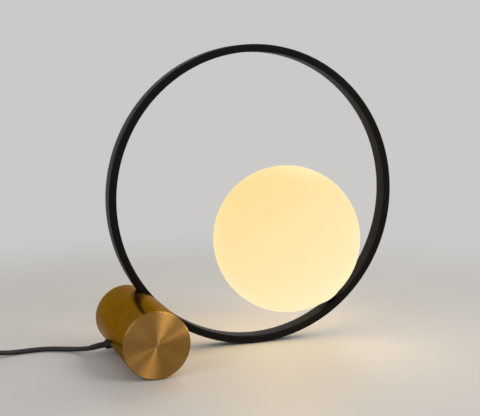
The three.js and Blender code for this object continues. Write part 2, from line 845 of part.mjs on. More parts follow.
function switch_group() {
  return group(new THREE.Vector3(switch_x, switch_y, 0),
    piece('switch_lower', switch_lower(), 'plastic'),
    piece('switch_upper', switch_upper(), 'plastic'),
    piece('switch_rocker', switch_rocker(), 'plastic'),
    piece('rocker_pin', rocker_pin(), 'steel'),
    piece('switch_screw_lamp_side', switch_screw(switch_boss_x), 'steel'),
    piece('switch_screw_plug_side', switch_screw(-switch_boss_x), 'steel'),
    piece('contact_lamp_side', switch_contact(contact_x), 'brass'),
    piece('contact_plug_side', switch_contact(-contact_x), 'brass'));
}

// The coil's centreline about its own middle: in on the lower layer, up a layer in the
// half turn where the spiral reverses, and out again on the upper layer
function coil_points() {
  const low_z = coil_lift + cord_r;
  const inner_r = coil_mid_r - coil_pitch * coil_turns / 4;
  const count = Math.round(coil_turns * coil_steps);
  const points = [];
  for (let i = 0; i <= count; i += 1) {
    const turn = i * coil_turns / count;
    const from_middle = (turn - coil_turns / 2) * 2 * Math.PI;
    const r = inner_r + coil_pitch * Math.abs(from_middle) / 2 / Math.PI;
    const rise = THREE.MathUtils.smoothstep(from_middle, -Math.PI / 2, Math.PI / 2);
    const angle = Math.PI / 2 + turn * 2 * Math.PI;
    points.push(new THREE.Vector3(
      coil_x + r * Math.cos(angle), coil_y + r * Math.sin(angle), low_z + coil_pitch * rise));
  }
  return points;
}

const plug_z = gap + plug_thick / 2;

// From the switch, round the coil and out to the plug
function coil_route() {
  const turns = coil_points();
  const from = new THREE.Vector3(switch_x - switch_length / 2 - gap, switch_y, switch_split_z);
  const lead = from.clone().setX(from.x - cord_r * 2);
  const last = turns[turns.length - 1];
  const drop = last.z - plug_z;
  const tail_shares = [0.35, 0.55, 0.7, 0.85, 1];
  const drop_shares = [0.04, 0.45, 0.85, 1, 1];
  const tail = tail_shares.map((share, i) => new THREE.Vector3(
    last.x, last.y - tail_length * share, last.z - drop * drop_shares[i]));
  const before = lead.clone().lerp(turns[0], lead_share);
  before.setZ(turns[0].z + (lead.z - turns[0].z) * lead_rise_share);
  return [from, lead, before, ...turns, ...tail];
}

// The least distance between the faces of two turns of the coil
function least_gap(points) {
  let least = Infinity;
  const apart = Math.round(coil_steps / 2);
  for (let i = 0; i < points.length; i += 1) {
    for (let j = i + apart; j + 1 < points.length; j += 1) {
      const line = new THREE.Line3(points[j], points[j + 1]);
      const near = line.closestPointToPoint(points[i], true, new THREE.Vector3());
      least = Math.min(least, near.distanceTo(points[i]));
    }
  }
  return least - cord_r * 2;
}

function route_length(points) {
  return points.slice(1).reduce((sum, point, i) => sum + point.distanceTo(points[i]), 0);
}

function cord_coil() {
  const route = coil_route();
  console.log('coil with its lead and tail, mm:', route_length(route).toFixed(1));
  console.log('least gap between turns, mm:', least_gap(route).toFixed(2));
  return sweep(route, route.map(() => cord_r), coil_sides);
}

// The tie is a flat band round the turns on the lamp's side of the coil
function cord_tie() {
  const reach = coil_pitch * coil_turns / 4 + cord_r + tie_clearance;
  const top = coil_lift + cord_r * 2 + coil_pitch + tie_clearance;
  const low = coil_lift - tie_clearance;
  const [half, half_height] = [reach, (top - low) / 2];
  const outer = rounded(half + tie_thick, half_height + tie_thick, tie_corner_r);
  const inner = rounded(half, half_height, tie_corner_r - tie_thick);
  const high = tie_width / 2;
  return cut(plate(outer, -high, high), plate(inner, -high - overrun, high + overrun))
    .rotateX(Math.PI / 2).translate(coil_x + coil_mid_r, coil_y, (top + low) / 2);
}

// The moulded plug lies flat with its pins pointing to -Y
function plug_body() {
  const half = plug_width / 2;
  const neck = plug_neck_width / 2;
  const shape = new THREE.Shape();
  const r = plug_corner_r;
  shape.moveTo(-neck, 0);
  shape.quadraticCurveTo(-neck, -r * 2, -half, -r * 3);
  shape.lineTo(-half, r - plug_length);
  shape.quadraticCurveTo(-half, -plug_length, r - half, -plug_length);
  shape.lineTo(half - r, -plug_length);
  shape.quadraticCurveTo(half, -plug_length, half, r - plug_length);
  shape.lineTo(half, -r * 3);
  shape.quadraticCurveTo(neck, -r * 2, neck, 0);
  const half_thick = plug_thick / 2;
  const body = new THREE.ExtrudeGeometry(shape, {
    depth: plug_thick - plug_bevel * 2, bevelThickness: plug_bevel, bevelSize: plug_bevel,
    bevelOffset: -plug_bevel, bevelSegments: 2, curveSegments: 5,
  }).translate(0, 0, plug_bevel - half_thick);
  const relief = turned([[0, -plug_relief_r], [plug_relief_r, -plug_relief_r],
    [plug_relief_tip_r, plug_relief_length], [0, plug_relief_length]], plug_relief_steps);
  const seats = [-1, 1].map((side) => rod(pin_r + gap, -plug_length - overrun,
    pin_seat - plug_length, pin_steps).translate(side * pin_pitch / 2, 0, 0));
  return cut(join(body, relief), ...seats);
}

function plug_pin(side) {
  const low = -plug_length - pin_length;
  const high = pin_seat - gap - plug_length;
  return turned([[0, low], [pin_r / 2, low], [pin_r, low + pin_r], [pin_r, high], [0, high]],
    pin_steps).translate(side * pin_pitch / 2, 0, 0);
}

function plug_group() {
  const route = coil_route();
  const end = route[route.length - 1];
  const place = new THREE.Vector3(end.x, end.y - plug_relief_length - gap, plug_z);
  return group(place,
    piece('plug_body', plug_body(), 'plastic'),
    piece('plug_pin_left', plug_pin(-1), 'steel'),
    piece('plug_pin_right', plug_pin(1), 'steel'));
}

const lamp = group(new THREE.Vector3(),
  base_group(), hoop_group(), fitting_group(), switch_group(), plug_group(),
  piece('cord_bush', cord_bush(), 'rubber'),
  piece('cord_lead', cord_lead(), 'plastic'),
  piece('cord_coil', cord_coil(), 'plastic'),
  piece('cord_tie', cord_tie(), 'rubber'));

export default lamp;
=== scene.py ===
"""Dresses a table lamp: a black hoop standing in a brass cylinder, with a lit opal globe.

Metres and +Z up, in the frame's own axes: X runs along the hoop towards the globe and Y
along the brass cylinder towards its short rear end.
"""
import json
import math

import bpy
from mathutils import Matrix, Vector


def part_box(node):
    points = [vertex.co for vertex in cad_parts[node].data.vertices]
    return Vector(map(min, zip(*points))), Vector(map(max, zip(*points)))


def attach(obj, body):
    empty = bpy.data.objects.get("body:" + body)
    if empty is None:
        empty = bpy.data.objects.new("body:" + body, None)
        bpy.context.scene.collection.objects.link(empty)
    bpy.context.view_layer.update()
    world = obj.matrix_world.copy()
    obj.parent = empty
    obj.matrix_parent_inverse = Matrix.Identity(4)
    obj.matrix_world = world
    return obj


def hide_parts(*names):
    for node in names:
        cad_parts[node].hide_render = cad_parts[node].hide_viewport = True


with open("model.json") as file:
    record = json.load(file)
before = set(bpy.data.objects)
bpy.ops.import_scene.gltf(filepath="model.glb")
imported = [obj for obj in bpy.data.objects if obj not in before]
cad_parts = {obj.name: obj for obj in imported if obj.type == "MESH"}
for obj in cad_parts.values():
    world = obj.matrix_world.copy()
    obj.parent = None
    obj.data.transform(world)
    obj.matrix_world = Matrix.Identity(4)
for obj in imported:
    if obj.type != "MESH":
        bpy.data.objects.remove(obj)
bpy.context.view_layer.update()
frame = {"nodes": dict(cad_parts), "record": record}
scene = bpy.context.scene
scene.view_settings.view_transform = "Standard"

MM = 0.001
UP = Vector((0, 0, 1))
REARWARD = Vector((0, 1, 0))

# Camera, solved from the photograph
CAMERA_PLACE = (-0.44698, -1.15678, 0.35225)
CAMERA_TURN = 0.353333
CAMERA_PITCH = 0.134982
FOCAL_PX = 931.62
IMAGE_WIDTH_PX = 480
SENSOR_WIDTH = 36.0
CLIP_NEAR = 0.05
CLIP_FAR = 80

# How finely bodies are divided, and the angles above which their edges stay sharp
HOOP_STEPS = 288
BASE_STEPS = 192
GLOBE_STEPS = 144
GLOBE_RINGS = 72
FITTING_STEPS = 64
SLEEVE_STEPS = 32
ROUND_STEPS = 48
PIN_STEPS = 32
SEAT_STEPS = 40
SHARP = 35
SHARP_CARVED = 30
SHARP_LOFT = 40
SHARP_SHELL = 32
SHARP_GLOBE = 50
ON_AXIS = 1e-7

# Sizes that the frame doesn't give by itself
GAP = 0.3 * MM
POCKET_REACH = 30 * MM
POCKET_BELOW = 10 * MM
HOOP_THICK = 10 * MM
HOOP_EDGE = 1.6 * MM
CAP_THICK = 4 * MM
CAP_EDGE = 1.2 * MM
CAP_SMALL_EDGE = 0.3 * MM
CAP_SPIGOT = 6 * MM
CAP_DENT = [(0, 0.12 * MM), (0.7 * MM, 0.1 * MM), (1.0 * MM, 0)]
BARREL_WALL = 3 * MM
BARREL_EDGE = 0.25 * MM
GLOBE_R = 100 * MM
GLOBE_WALL = 2.5 * MM
GLOBE_GAP = 12.6 * MM
GLOBE_NECK = 2 * MM
GLOBE_ANGLE = math.radians(-52.3)
GLOBE_MOUTH_R = 20.4 * MM
FITTING_BORE_R = 5.3 * MM
FITTING_FOOT_R = 7 * MM
FITTING_FOOT_LOW = 0.43 * MM
FITTING_FOOT_HIGH = 10.43 * MM
FITTING_FOOT_EDGE = 0.5 * MM
CORD_R = 3.25 * MM
SWITCH_X = -380 * MM
SWITCH_Y = 42 * MM
SWITCH_LENGTH = 62 * MM
SWITCH_WIDTH = 26 * MM
SWITCH_SPLIT = 7 * MM
SWITCH_TOP = 19 * MM
SWITCH_CORNER = 9 * MM
SWITCH_WALL = 2 * MM

hoop_low, hoop_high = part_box("hoop")
HOOP_R = (hoop_high.x - hoop_low.x) / 2
HOOP_HALF_DEPTH = (hoop_high.y - hoop_low.y) / 2
HOOP_CENTRE = Vector((0, 0, hoop_high.z - HOOP_R))
HOOP_INNER_R = HOOP_R - HOOP_THICK
barrel_low, barrel_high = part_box("base_barrel")
BASE_R = (barrel_high.x - barrel_low.x) / 2
BASE_CENTRE = Vector(((barrel_low.x + barrel_high.x) / 2, 0, barrel_high.z - BASE_R))
BASE_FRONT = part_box("front_cap")[0].y
BASE_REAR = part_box("rear_cap")[1].y
GLOBE_INWARD = Vector((-math.cos(GLOBE_ANGLE), 0, -math.sin(GLOBE_ANGLE)))
FITTING_START = HOOP_CENTRE - GLOBE_INWARD * HOOP_INNER_R


def make_camera():
    data = bpy.data.cameras.new("photo_camera")
    data.sensor_fit = "HORIZONTAL"
    data.sensor_width = SENSOR_WIDTH
    data.lens = FOCAL_PX * SENSOR_WIDTH / IMAGE_WIDTH_PX
    data.clip_start = CLIP_NEAR
    data.clip_end = CLIP_FAR
    camera = bpy.data.objects.new("photo_camera", data)
    camera.location = CAMERA_PLACE
    camera.rotation_euler = (math.pi / 2 - CAMERA_PITCH, 0, -CAMERA_TURN)
    scene.collection.objects.link(camera)
    scene.camera = camera


# Cord route from the cylinder to the switch
CORD_POINTS_MM = [
    (-201.4, -3, 16.9), (-208.1, -2.1, 16.2), (-214.4, 0.5, 14.6), (-219.8, 4.6, 12.4),
    (-224, 10.2, 9.9), (-227.9, 16.8, 7.7), (-232.2, 23.6, 5.9), (-238, 30, 4.5),
    (-245.6, 35.7, 3.7), (-255, 40.8, 3.5), (-264.6, 44.8, 3.5), (-275, 47.9, 3.4),
    (-286, 49, 3.4), (-298, 48.4, 3.4), (-310, 46.8, 3.5), (-321, 44.8, 4.1),
    (-331, 43, 5.3), (-339.6, 42.1, 6.6), (-344.4, 42, 7),
]
COIL_TURNS = 6.25
COIL_PITCH = 7.1 * MM
COIL_MID_R = 37.8 * MM
COIL_X = -453 * MM
COIL_HALF_BAND = COIL_PITCH * COIL_TURNS / 4
COIL_Y = SWITCH_Y - COIL_MID_R - COIL_HALF_BAND
COIL_LIFT = 1.6 * MM
COIL_STEPS = 24
COIL_ENTRY = 0.6
COIL_ENTRY_RISE = 0.2
TAIL_LENGTH = 44 * MM
TAIL_SHARES = [(0.35, 0.04), (0.55, 0.45), (0.7, 0.85), (0.85, 1), (1, 1)]
PLUG_THICK = 14 * MM
PLUG_Z = GAP + PLUG_THICK / 2
PLUG_RELIEF = 22 * MM
CORD_INTO_PLUG = 4 * MM
CORD_STEP = 2 * MM
CORD_BEVEL = 5


def smoothstep(value, low, high):
    share = min(1, max(0, (value - low) / (high - low)))
    return share * share * (3 - 2 * share)


def coil_points():
    inner_r = COIL_MID_R - COIL_HALF_BAND
    count = round(COIL_TURNS * COIL_STEPS)
    points = []
    for i in range(count + 1):
        turn = i * COIL_TURNS / count
        from_middle = (turn - COIL_TURNS / 2) * 2 * math.pi
        r = inner_r + COIL_PITCH * abs(from_middle) / 2 / math.pi
        rise = smoothstep(from_middle, -math.pi / 2, math.pi / 2)
        angle = math.pi / 2 + turn * 2 * math.pi
        points.append(Vector((
            COIL_X + r * math.cos(angle), COIL_Y + r * math.sin(angle),
            COIL_LIFT + CORD_R + COIL_PITCH * rise)))
    return points


def cord_route():
    """The cord's own points, from the cylinder through the switch and the coil to the plug."""
    out = [Vector(place) * MM for place in CORD_POINTS_MM]
    half = SWITCH_LENGTH / 2 + GAP
    through = [Vector((SWITCH_X + side * half, SWITCH_Y, SWITCH_SPLIT)) for side in (1, 0, -1)]
    lead = through[-1] - Vector((CORD_R * 2, 0, 0))
    turns = coil_points()
    before = lead.lerp(turns[0], COIL_ENTRY)
    before.z = turns[0].z + (lead.z - turns[0].z) * COIL_ENTRY_RISE
    last = turns[-1]
    drop = last.z - PLUG_Z
    tail = [Vector((last.x, last.y - TAIL_LENGTH * share, last.z - drop * drop_share))
            for share, drop_share in TAIL_SHARES]
    end = tail[-1] - REARWARD * CORD_INTO_PLUG
    return [*out, *through, lead, before, *turns, *tail, end]


def smooth_line(points, step):
    """A centripetal Catmull-Rom line through the points, about one point each step."""
    ends = [points[0] * 2 - points[1], *points, points[-1] * 2 - points[-2]]
    line = []
    for i in range(1, len(ends) - 2):
        p = ends[i - 1:i + 3]
        t = [0.0]
        for a, b in zip(p, p[1:]):
            t.append(t[-1] + max(1e-6, math.sqrt((b - a).length)))
        count = max(1, round((p[2] - p[1]).length / step))
        for k in range(count):
            at = t[1] + (t[2] - t[1]) * k / count
            first = [p[j] + (p[j + 1] - p[j]) * ((at - t[j]) / (t[j + 1] - t[j])) for j in range(3)]
            second = [first[j] + (first[j + 1] - first[j]) * ((at - t[j]) / (t[j + 2] - t[j]))
                      for j in range(2)]
            line.append(second[0] + (second[1] - second[0]) * ((at - t[1]) / (t[2] - t[1])))
    line.append(points[-1].copy())
    return line


def finish_mesh(name, verts, faces, sharp=SHARP):
    """A new object from vertices and faces, smooth except at edges sharper than an angle."""
    mesh = bpy.data.meshes.new(name)
    mesh.from_pydata([tuple(v) for v in verts], [], faces)
    mesh.validate()
    mesh.polygons.foreach_set("use_smooth", [True] * len(mesh.polygons))
    mesh.set_sharp_from_angle(angle=math.radians(sharp))
    piece = bpy.data.objects.new(name, mesh)
    scene.collection.objects.link(piece)
    return piece


def sweep(name, points, radii, sides):
    """A closed round tube on a line of points, with a radius at each."""
    verts, faces = [], []
    side = UP.copy()
    for i, point in enumerate(points):
        ahead, behind = points[min(i + 1, len(points) - 1)], points[max(i - 1, 0)]
        way = (ahead - behind).normalized()
        side = (side - way * side.dot(way)).normalized()
        across = way.cross(side)
        for k in range(sides):
            turn = 2 * math.pi * k / sides
            verts.append(point + side * radii[i] * math.cos(turn) + across * radii[i] * math.sin(turn))
    for i in range(len(points) - 1):
        for k in range(sides):
            a, b = i * sides + k, i * sides + (k + 1) % sides
            faces.append((a, b, b + sides, a + sides))
    faces.append(tuple(reversed(range(sides))))
    last = (len(points) - 1) * sides
    faces.append(tuple(range(last, last + sides)))
    return finish_mesh(name, verts, faces)


SIDE_SHARE = 2.2


def soften(corners, radius, steps=4):
    """Rounds the corners of a closed outline, by one radius or by one for each corner.

    A corner on the axis stays as it is.
    """
    made = []
    count = len(corners)
    radii = radius if isinstance(radius, list) else [radius] * count
    for i in range(count):
        corner = Vector(corners[i])
        before, after = Vector(corners[i - 1]), Vector(corners[(i + 1) % count])
        if abs(corner.x) < ON_AXIS:
            made.append(corner)
            continue
        to_before, to_after = before - corner, after - corner
        reach = min(radii[i], to_before.length / SIDE_SHARE, to_after.length / SIDE_SHARE)
        start, end = corner + to_before.normalized() * reach, corner + to_after.normalized() * reach
        for k in range(steps + 1):
            share = k / steps
            made.append(start * (1 - share) ** 2 + corner * 2 * share * (1 - share) + end * share ** 2)
    return made


def axis_frame(origin, direction):
    """The matrix that lays the Y axis along a direction, from an origin."""
    turn = REARWARD.rotation_difference(Vector(direction).normalized())
    return Matrix.Translation(origin) @ turn.to_matrix().to_4x4()


def lathe(name, profile, steps, place, sharp=SHARP):
    """A body turned about the Y axis from a closed outline of (radius, y), then placed."""
    rows, verts, faces = [], [], []
    for r, y in profile:
        if r < ON_AXIS:
            rows.append([len(verts)] * steps)
            verts.append(Vector((0, y, 0)))
            continue
        rows.append(list(range(len(verts), len(verts) + steps)))
        for k in range(steps):
            turn = 2 * math.pi * k / steps
            verts.append(Vector((r * math.cos(turn), y, r * math.sin(turn))))
    for row, following in zip(rows, rows[1:] + rows[:1]):
        for k in range(steps):
            n = (k + 1) % steps
            face = []
            for index in (row[k], following[k], following[n], row[n]):
                if index not in face:
                    face.append(index)
            if len(face) > 2:
                faces.append(tuple(face))
    return finish_mesh(name, [place @ v for v in verts], faces, sharp)


def carve(piece, cutter, operation="DIFFERENCE"):
    """Cuts or joins one object by another, which is then deleted."""
    modifier = piece.modifiers.new("carve", "BOOLEAN")
    modifier.object = cutter
    modifier.operation = operation
    modifier.solver = "EXACT"
    bpy.context.view_layer.update()
    made = bpy.data.meshes.new_from_object(piece.evaluated_get(bpy.context.evaluated_depsgraph_get()))
    piece.modifiers.clear()
    piece.data = made
    bpy.data.objects.remove(cutter)
    made.polygons.foreach_set("use_smooth", [True] * len(made.polygons))
    made.set_sharp_from_angle(angle=math.radians(SHARP_CARVED))
    return piece


def box_piece(name, low, high):
    x, y, z = zip(low, high)
    verts = [Vector((x[i], y[j], z[k])) for i in (0, 1) for j in (0, 1) for k in (0, 1)]
    faces = [(0, 1, 3, 2), (4, 6, 7, 5), (0, 4, 5, 1), (2, 3, 7, 6), (0, 2, 6, 4), (1, 5, 7, 3)]
    return finish_mesh(name, verts, faces)


def loft(name, sections, sharp=SHARP_LOFT):
    """A closed body through sections, each a list of as many points."""
    sides = len(sections[0])
    verts = [point for section in sections for point in section]
    faces = []
    for i in range(len(sections) - 1):
        for k in range(sides):
            a, b = i * sides + k, i * sides + (k + 1) % sides
            faces.append((a, b, b + sides, a + sides))
    faces.append(tuple(reversed(range(sides))))
    last = (len(sections) - 1) * sides
    faces.append(tuple(range(last, last + sides)))
    return finish_mesh(name, verts, faces, sharp)


def rounded_outline(half_x, half_y, r, steps=8):
    points = []
    for quarter, (sx, sy) in enumerate(((1, 1), (-1, 1), (-1, -1), (1, -1))):
        for k in range(steps + 1):
            turn = math.pi / 2 * (quarter + k / steps)
            points.append((sx * (half_x - r) + r * math.cos(turn), sy * (half_y - r) + r * math.sin(turn)))
    return points


class Nodes:
    """A material under construction, with short calls for the nodes that recur."""

    def __init__(self, name, color, roughness, metallic=0.0, **sockets):
        self.material = bpy.data.materials.new(name)
        self.material.use_nodes = True
        self.tree = self.material.node_tree
        self.shader = self.tree.nodes["Principled BSDF"]
        self.set("Base Color", (*color, 1))
        self.set("Roughness", roughness)
        self.set("Metallic", metallic)
        for socket, value in sockets.items():
            self.set(socket.replace("_", " "), value)

    def set(self, socket, value):
        self.shader.inputs[socket].default_value = value

    def add(self, kind, **settings):
        node = self.tree.nodes.new(kind)
        for key, value in settings.items():
            setattr(node, key, value)
        return node

    def link(self, out, into):
        self.tree.links.new(out, into)

    def feed(self, value, into):
        """Links an output into a socket, or writes a plain value there."""
        if isinstance(value, bpy.types.NodeSocket):
            self.link(value, into)
        else:
            into.default_value = value

    def place(self):
        return self.add("ShaderNodeTexCoord").outputs["Object"]

    def part(self, vector, axis):
        node = self.add("ShaderNodeSeparateXYZ")
        self.link(vector, node.inputs[0])
        return node.outputs[axis]

    def length(self, vector):
        node = self.add("ShaderNodeVectorMath", operation="LENGTH")
        self.link(vector, node.inputs[0])
        return node.outputs["Value"]

    def compute(self, operation, *values):
        node = self.add("ShaderNodeMath", operation=operation)
        for value, into in zip(values, node.inputs):
            self.feed(value, into)
        return node.outputs[0]

    def scaled(self, vector, scale, centre=(0, 0, 0)):
        moved = self.add("ShaderNodeVectorMath", operation="SUBTRACT")
        self.link(vector, moved.inputs[0])
        moved.inputs[1].default_value = centre
        sized = self.add("ShaderNodeVectorMath", operation="MULTIPLY")
        self.link(moved.outputs[0], sized.inputs[0])
        sized.inputs[1].default_value = scale
        return sized.outputs[0]

    def noise(self, vector, scale, detail=3.0, roughness=0.55):
        node = self.add("ShaderNodeTexNoise")
        self.link(vector, node.inputs["Vector"])
        node.inputs["Scale"].default_value = scale
        node.inputs["Detail"].default_value = detail
        node.inputs["Roughness"].default_value = roughness
        return node.outputs["Fac"]

    def spread(self, value, low, high, from_low=0.3, from_high=0.7):
        node = self.add("ShaderNodeMapRange")
        self.link(value, node.inputs["Value"])
        node.inputs["From Min"].default_value = from_low
        node.inputs["From Max"].default_value = from_high
        node.inputs["To Min"].default_value = low
        self.feed(high, node.inputs["To Max"])
        return node.outputs["Result"]

    def tint(self, value, first, second):
        node = self.add("ShaderNodeMix", data_type="RGBA")
        self.link(value, node.inputs["Factor"])
        for socket, colour in zip((6, 7), (first, second)):
            node.inputs[socket].default_value = (*colour, 1)
        return node.outputs[2]

    def bump(self, height, distance, strength=1.0):
        node = self.add("ShaderNodeBump")
        self.link(height, node.inputs["Height"])
        node.inputs["Distance"].default_value = distance
        node.inputs["Strength"].default_value = strength
        self.link(node.outputs["Normal"], self.shader.inputs["Normal"])


# The slant of a cut edge, as its normal's share along Y, and how far round it the polish holds and fades
RIM_ROUGHNESS = 0.2
RIM_SLANT = 0.6
RIM_POLISHED = 0.25
RIM_FADED = 0.38


def polished_rim(made, rough):
    """Roughness that falls on the cut edge, where the surface slants from an end face to the side."""
    normal = made.add("ShaderNodeTexCoord").outputs["Normal"]
    facing = made.compute("ABSOLUTE", made.part(normal, "Y"))
    apart = made.compute("ABSOLUTE", made.compute("SUBTRACT", facing, RIM_SLANT))
    return made.spread(apart, RIM_ROUGHNESS, rough, RIM_POLISHED, RIM_FADED)


WIDE_GRAIN = 14
SMOOTHEST = 0.85
ROUGHEST = 1.2


def grained(name, color, roughness, metallic, grain, depth, shade=0.15, rim=False, **sockets):
    """A plain surface with fine grain: colour, gloss and height vary with one noise."""
    made = Nodes(name, color, roughness, metallic, **sockets)
    fine = made.noise(made.place(), grain, 4)
    wide = made.noise(made.place(), grain / WIDE_GRAIN, 2)
    darker = tuple(c * (1 - shade) for c in color)
    lighter = tuple(min(1, c * (1 + shade)) for c in color)
    made.link(made.tint(made.spread(wide, 0, 1), darker, lighter), made.shader.inputs["Base Color"])
    rough = made.spread(fine, roughness * SMOOTHEST, min(1, roughness * ROUGHEST))
    if rim:
        rough = polished_rim(made, rough)
    made.link(rough, made.shader.inputs["Roughness"])
    made.bump(fine, depth)
    return made.material


BRASS = (0.34, 0.186, 0.052)
BRASS_DEEP = (0.285, 0.147, 0.037)
BRASS_PALE = (0.395, 0.226, 0.07)
BRASS_EDGE = (0.78, 0.54, 0.3, 1)
RING_SCALE = 520
RING_DETAIL = 7
RING_ROUGHNESS = 0.8
GROOVE_TINT = (0.72, 0.68, 0.62)
GROOVE_SHARE = 0.6
GROOVE_DEPTH = 0.012 * MM
GROOVE_STRENGTH = 0.4
PATINA_SCALE = 22
PATINA_GLOSS = 0.15


def turned_rings(made, place, faces_front):
    """Noise that runs in rings round the cylinder's axis, on an end face or along its side."""
    if faces_front:
        run = made.length(made.scaled(place, (1, 0, 1), tuple(BASE_CENTRE)))
    else:
        run = made.part(place, "Y")
    rings = made.add("ShaderNodeTexNoise", noise_dimensions="1D")
    made.link(run, rings.inputs["W"])
    rings.inputs["Scale"].default_value = RING_SCALE
    rings.inputs["Detail"].default_value = RING_DETAIL
    rings.inputs["Roughness"].default_value = RING_ROUGHNESS
    return rings.outputs["Fac"]


def brushed_brass(name, faces_front, roughness, spread, painted_shade_scale):
    """Brass turned on a lathe: fine rings round its axis, a spread highlight and a faint patina, its colours
    scaled down for painted shade where the scale is below 1.
    """
    deep, middle, pale = (tuple(c * painted_shade_scale for c in colour) for colour in (BRASS_DEEP, BRASS, BRASS_PALE))
    made = Nodes(name, middle, roughness, 1.0, Anisotropic=spread, Anisotropic_Rotation=0.25,
                 Specular_Tint=BRASS_EDGE)
    tangent = made.add("ShaderNodeTangent", direction_type="RADIAL", axis="Y")
    made.link(tangent.outputs[0], made.shader.inputs["Tangent"])
    place = made.place()
    rings = turned_rings(made, place, faces_front)
    patina = made.noise(place, PATINA_SCALE, 5, 0.6)
    shade = made.tint(made.spread(patina, 0, 1, 0.25, 0.75), deep, pale)
    mix = made.add("ShaderNodeMix", data_type="RGBA", blend_type="MULTIPLY")
    mix.inputs["Factor"].default_value = GROOVE_SHARE
    made.link(shade, mix.inputs[6])
    made.link(made.tint(made.spread(rings, 0, 1), GROOVE_TINT, (1, 1, 1)), mix.inputs[7])
    made.link(mix.outputs[2], made.shader.inputs["Base Color"])
    rough = made.spread(patina, roughness * (1 - PATINA_GLOSS), roughness * (1 + PATINA_GLOSS))
    if faces_front:
        rough = polished_rim(made, rough)
    made.link(rough, made.shader.inputs["Roughness"])
    made.bump(rings, GROOVE_DEPTH, GROOVE_STRENGTH)
    return made.material


OPAL_BODY = (0.06, 0.05, 0.04)
OPAL_STRENGTH = 0.96
OPAL_CLOUDS = 0.05
GLOW_WARM = (1.0, 0.72, 0.3)
GLOW_PALE = (1.0, 0.865, 0.51)


def opal_glass():
    """Etched opal glass with the bulb's warm light in it, a little deeper at the upper left."""
    made = Nodes("opal_glass", OPAL_BODY, 0.5, 0.0, Emission_Strength=OPAL_STRENGTH, Specular_IOR_Level=0.15)
    place = made.place()
    cloud = made.noise(place, 9, 3)
    from_fitting = made.scaled(place, (0.6, 1, 1), tuple(FITTING_START))
    run = made.compute("SUBTRACT", made.part(from_fitting, "X"), made.part(from_fitting, "Z"))
    across = made.spread(run, 0, 1, -0.25, -0.05)
    both = made.compute("MULTIPLY_ADD", cloud, OPAL_CLOUDS, across)
    made.link(made.tint(both, GLOW_WARM, GLOW_PALE), made.shader.inputs["Emission Color"])
    made.link(made.spread(made.noise(place, 900, 2), 0.46, 0.56), made.shader.inputs["Roughness"])
    return made.material


def clear_glass():
    made = Nodes("clear_glass", (0.95, 0.93, 0.88), 0.05, 0.0, Transmission_Weight=0.9, IOR=1.5)
    made.link(made.spread(made.noise(made.place(), 300, 2), 0.03, 0.09), made.shader.inputs["Roughness"])
    return made.material


# For each material: its name, colour, roughness, metallic, grain scale and depth, and shade where not usual
PLAIN = {
    "black_metal": ("black_coat", (0.003, 0.0028, 0.0026), 0.44, 0.0, 2600, 0.001 * MM, 0.2),
    "hoop_coat": ("hoop_coat", (0.0025, 0.0023, 0.0021), 0.44, 0.0, 2600, 0.001 * MM, 0.2),
    "rubber": ("black_rubber", (0.012, 0.012, 0.012), 0.75, 0.0, 1800, 0.03 * MM),
    "cord_sheath": ("cord_sheath", (0.009, 0.009, 0.0095), 0.5, 0.0, 900, 0.03 * MM),
    "black_plastic": ("black_plastic", (0.012, 0.012, 0.0125), 0.48, 0.0, 2200, 0.04 * MM),
    "white_plastic": ("white_ceramic", (0.8, 0.79, 0.75), 0.4, 0.0, 700, 0.02 * MM, 0.05),
    "steel": ("zinc_steel", (0.55, 0.56, 0.58), 0.38, 1.0, 900, 0.01 * MM),
    "nickel": ("nickel_plate", (0.72, 0.69, 0.63), 0.2, 1.0, 1200, 0.005 * MM, 0.08),
    "cast_iron": ("cast_iron", (0.09, 0.088, 0.086), 0.7, 0.8, 500, 0.2 * MM),
}
# What the two coats have beside that
COATS = {
    "black_metal": {"Specular_IOR_Level": 0.12},
    "hoop_coat": {"rim": True, "Specular_IOR_Level": 0.13},
}
MATERIALS = {key: grained(*values, **COATS.get(key, {})) for key, values in PLAIN.items()}
# The side is the same brass darkened to 0.8 of the spun faces: painted shade on the cylinder's side
MATERIALS["brass"] = brushed_brass("brushed_brass_side_painted_shade", False, 0.24, 0.6, 0.8)
MATERIALS["brass_face"] = brushed_brass("spun_brass_face", True, 0.42, 0.9, 1)
MATERIALS["opal_glass"] = opal_glass()
MATERIALS["clear_glass"] = clear_glass()


def paint(piece, material):
    piece.data.materials.clear()
    piece.data.materials.append(MATERIALS[material])


def seat(piece, body, slot, *nodes, material=None):
    """Paints a piece, lets it ride on a body and stand for CAD nodes."""
    paint(piece, material or slot)
    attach(piece, body)
    if nodes:
        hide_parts(*nodes)
    return piece


def make_cord():
    line = smooth_line(cord_route(), CORD_STEP)
    curve = bpy.data.curves.new("mains_cord", "CURVE")
    curve.dimensions = "3D"
    spline = curve.splines.new("POLY")
    spline.points.add(len(line) - 1)
    spline.points.foreach_set("co", [c for p in line for c in (*p, 1)])
    spline.use_smooth = True
    curve.bevel_depth = CORD_R
    curve.bevel_resolution = CORD_BEVEL
    curve.use_fill_caps = True
    cord = bpy.data.objects.new("mains_cord", curve)
    scene.collection.objects.link(cord)
    print("cord length, m:", round(sum((b - a).length for a, b in zip(line, line[1:])), 4))
    return seat(cord, "lamp", "cord_sheath", "cord_lead", "cord_coil")


def fitting_place():
    return axis_frame(FITTING_START, GLOBE_INWARD)


def turned_piece(name, corners, radius, place, steps):
    return lathe(name, soften(corners, radius), steps, place)


def ring_corners(inner, outer, low, high):
    return [(inner, low), (outer, low), (outer, high), (inner, high)]


def hoop_ring(name, grow):
    """The hoop, or with grow the space that it takes in the cylinder."""
    half = HOOP_HALF_DEPTH + grow
    corners = ring_corners(HOOP_INNER_R - grow, HOOP_R + grow, -half, half)
    return turned_piece(name, corners, HOOP_EDGE, axis_frame(HOOP_CENTRE, REARWARD), HOOP_STEPS)


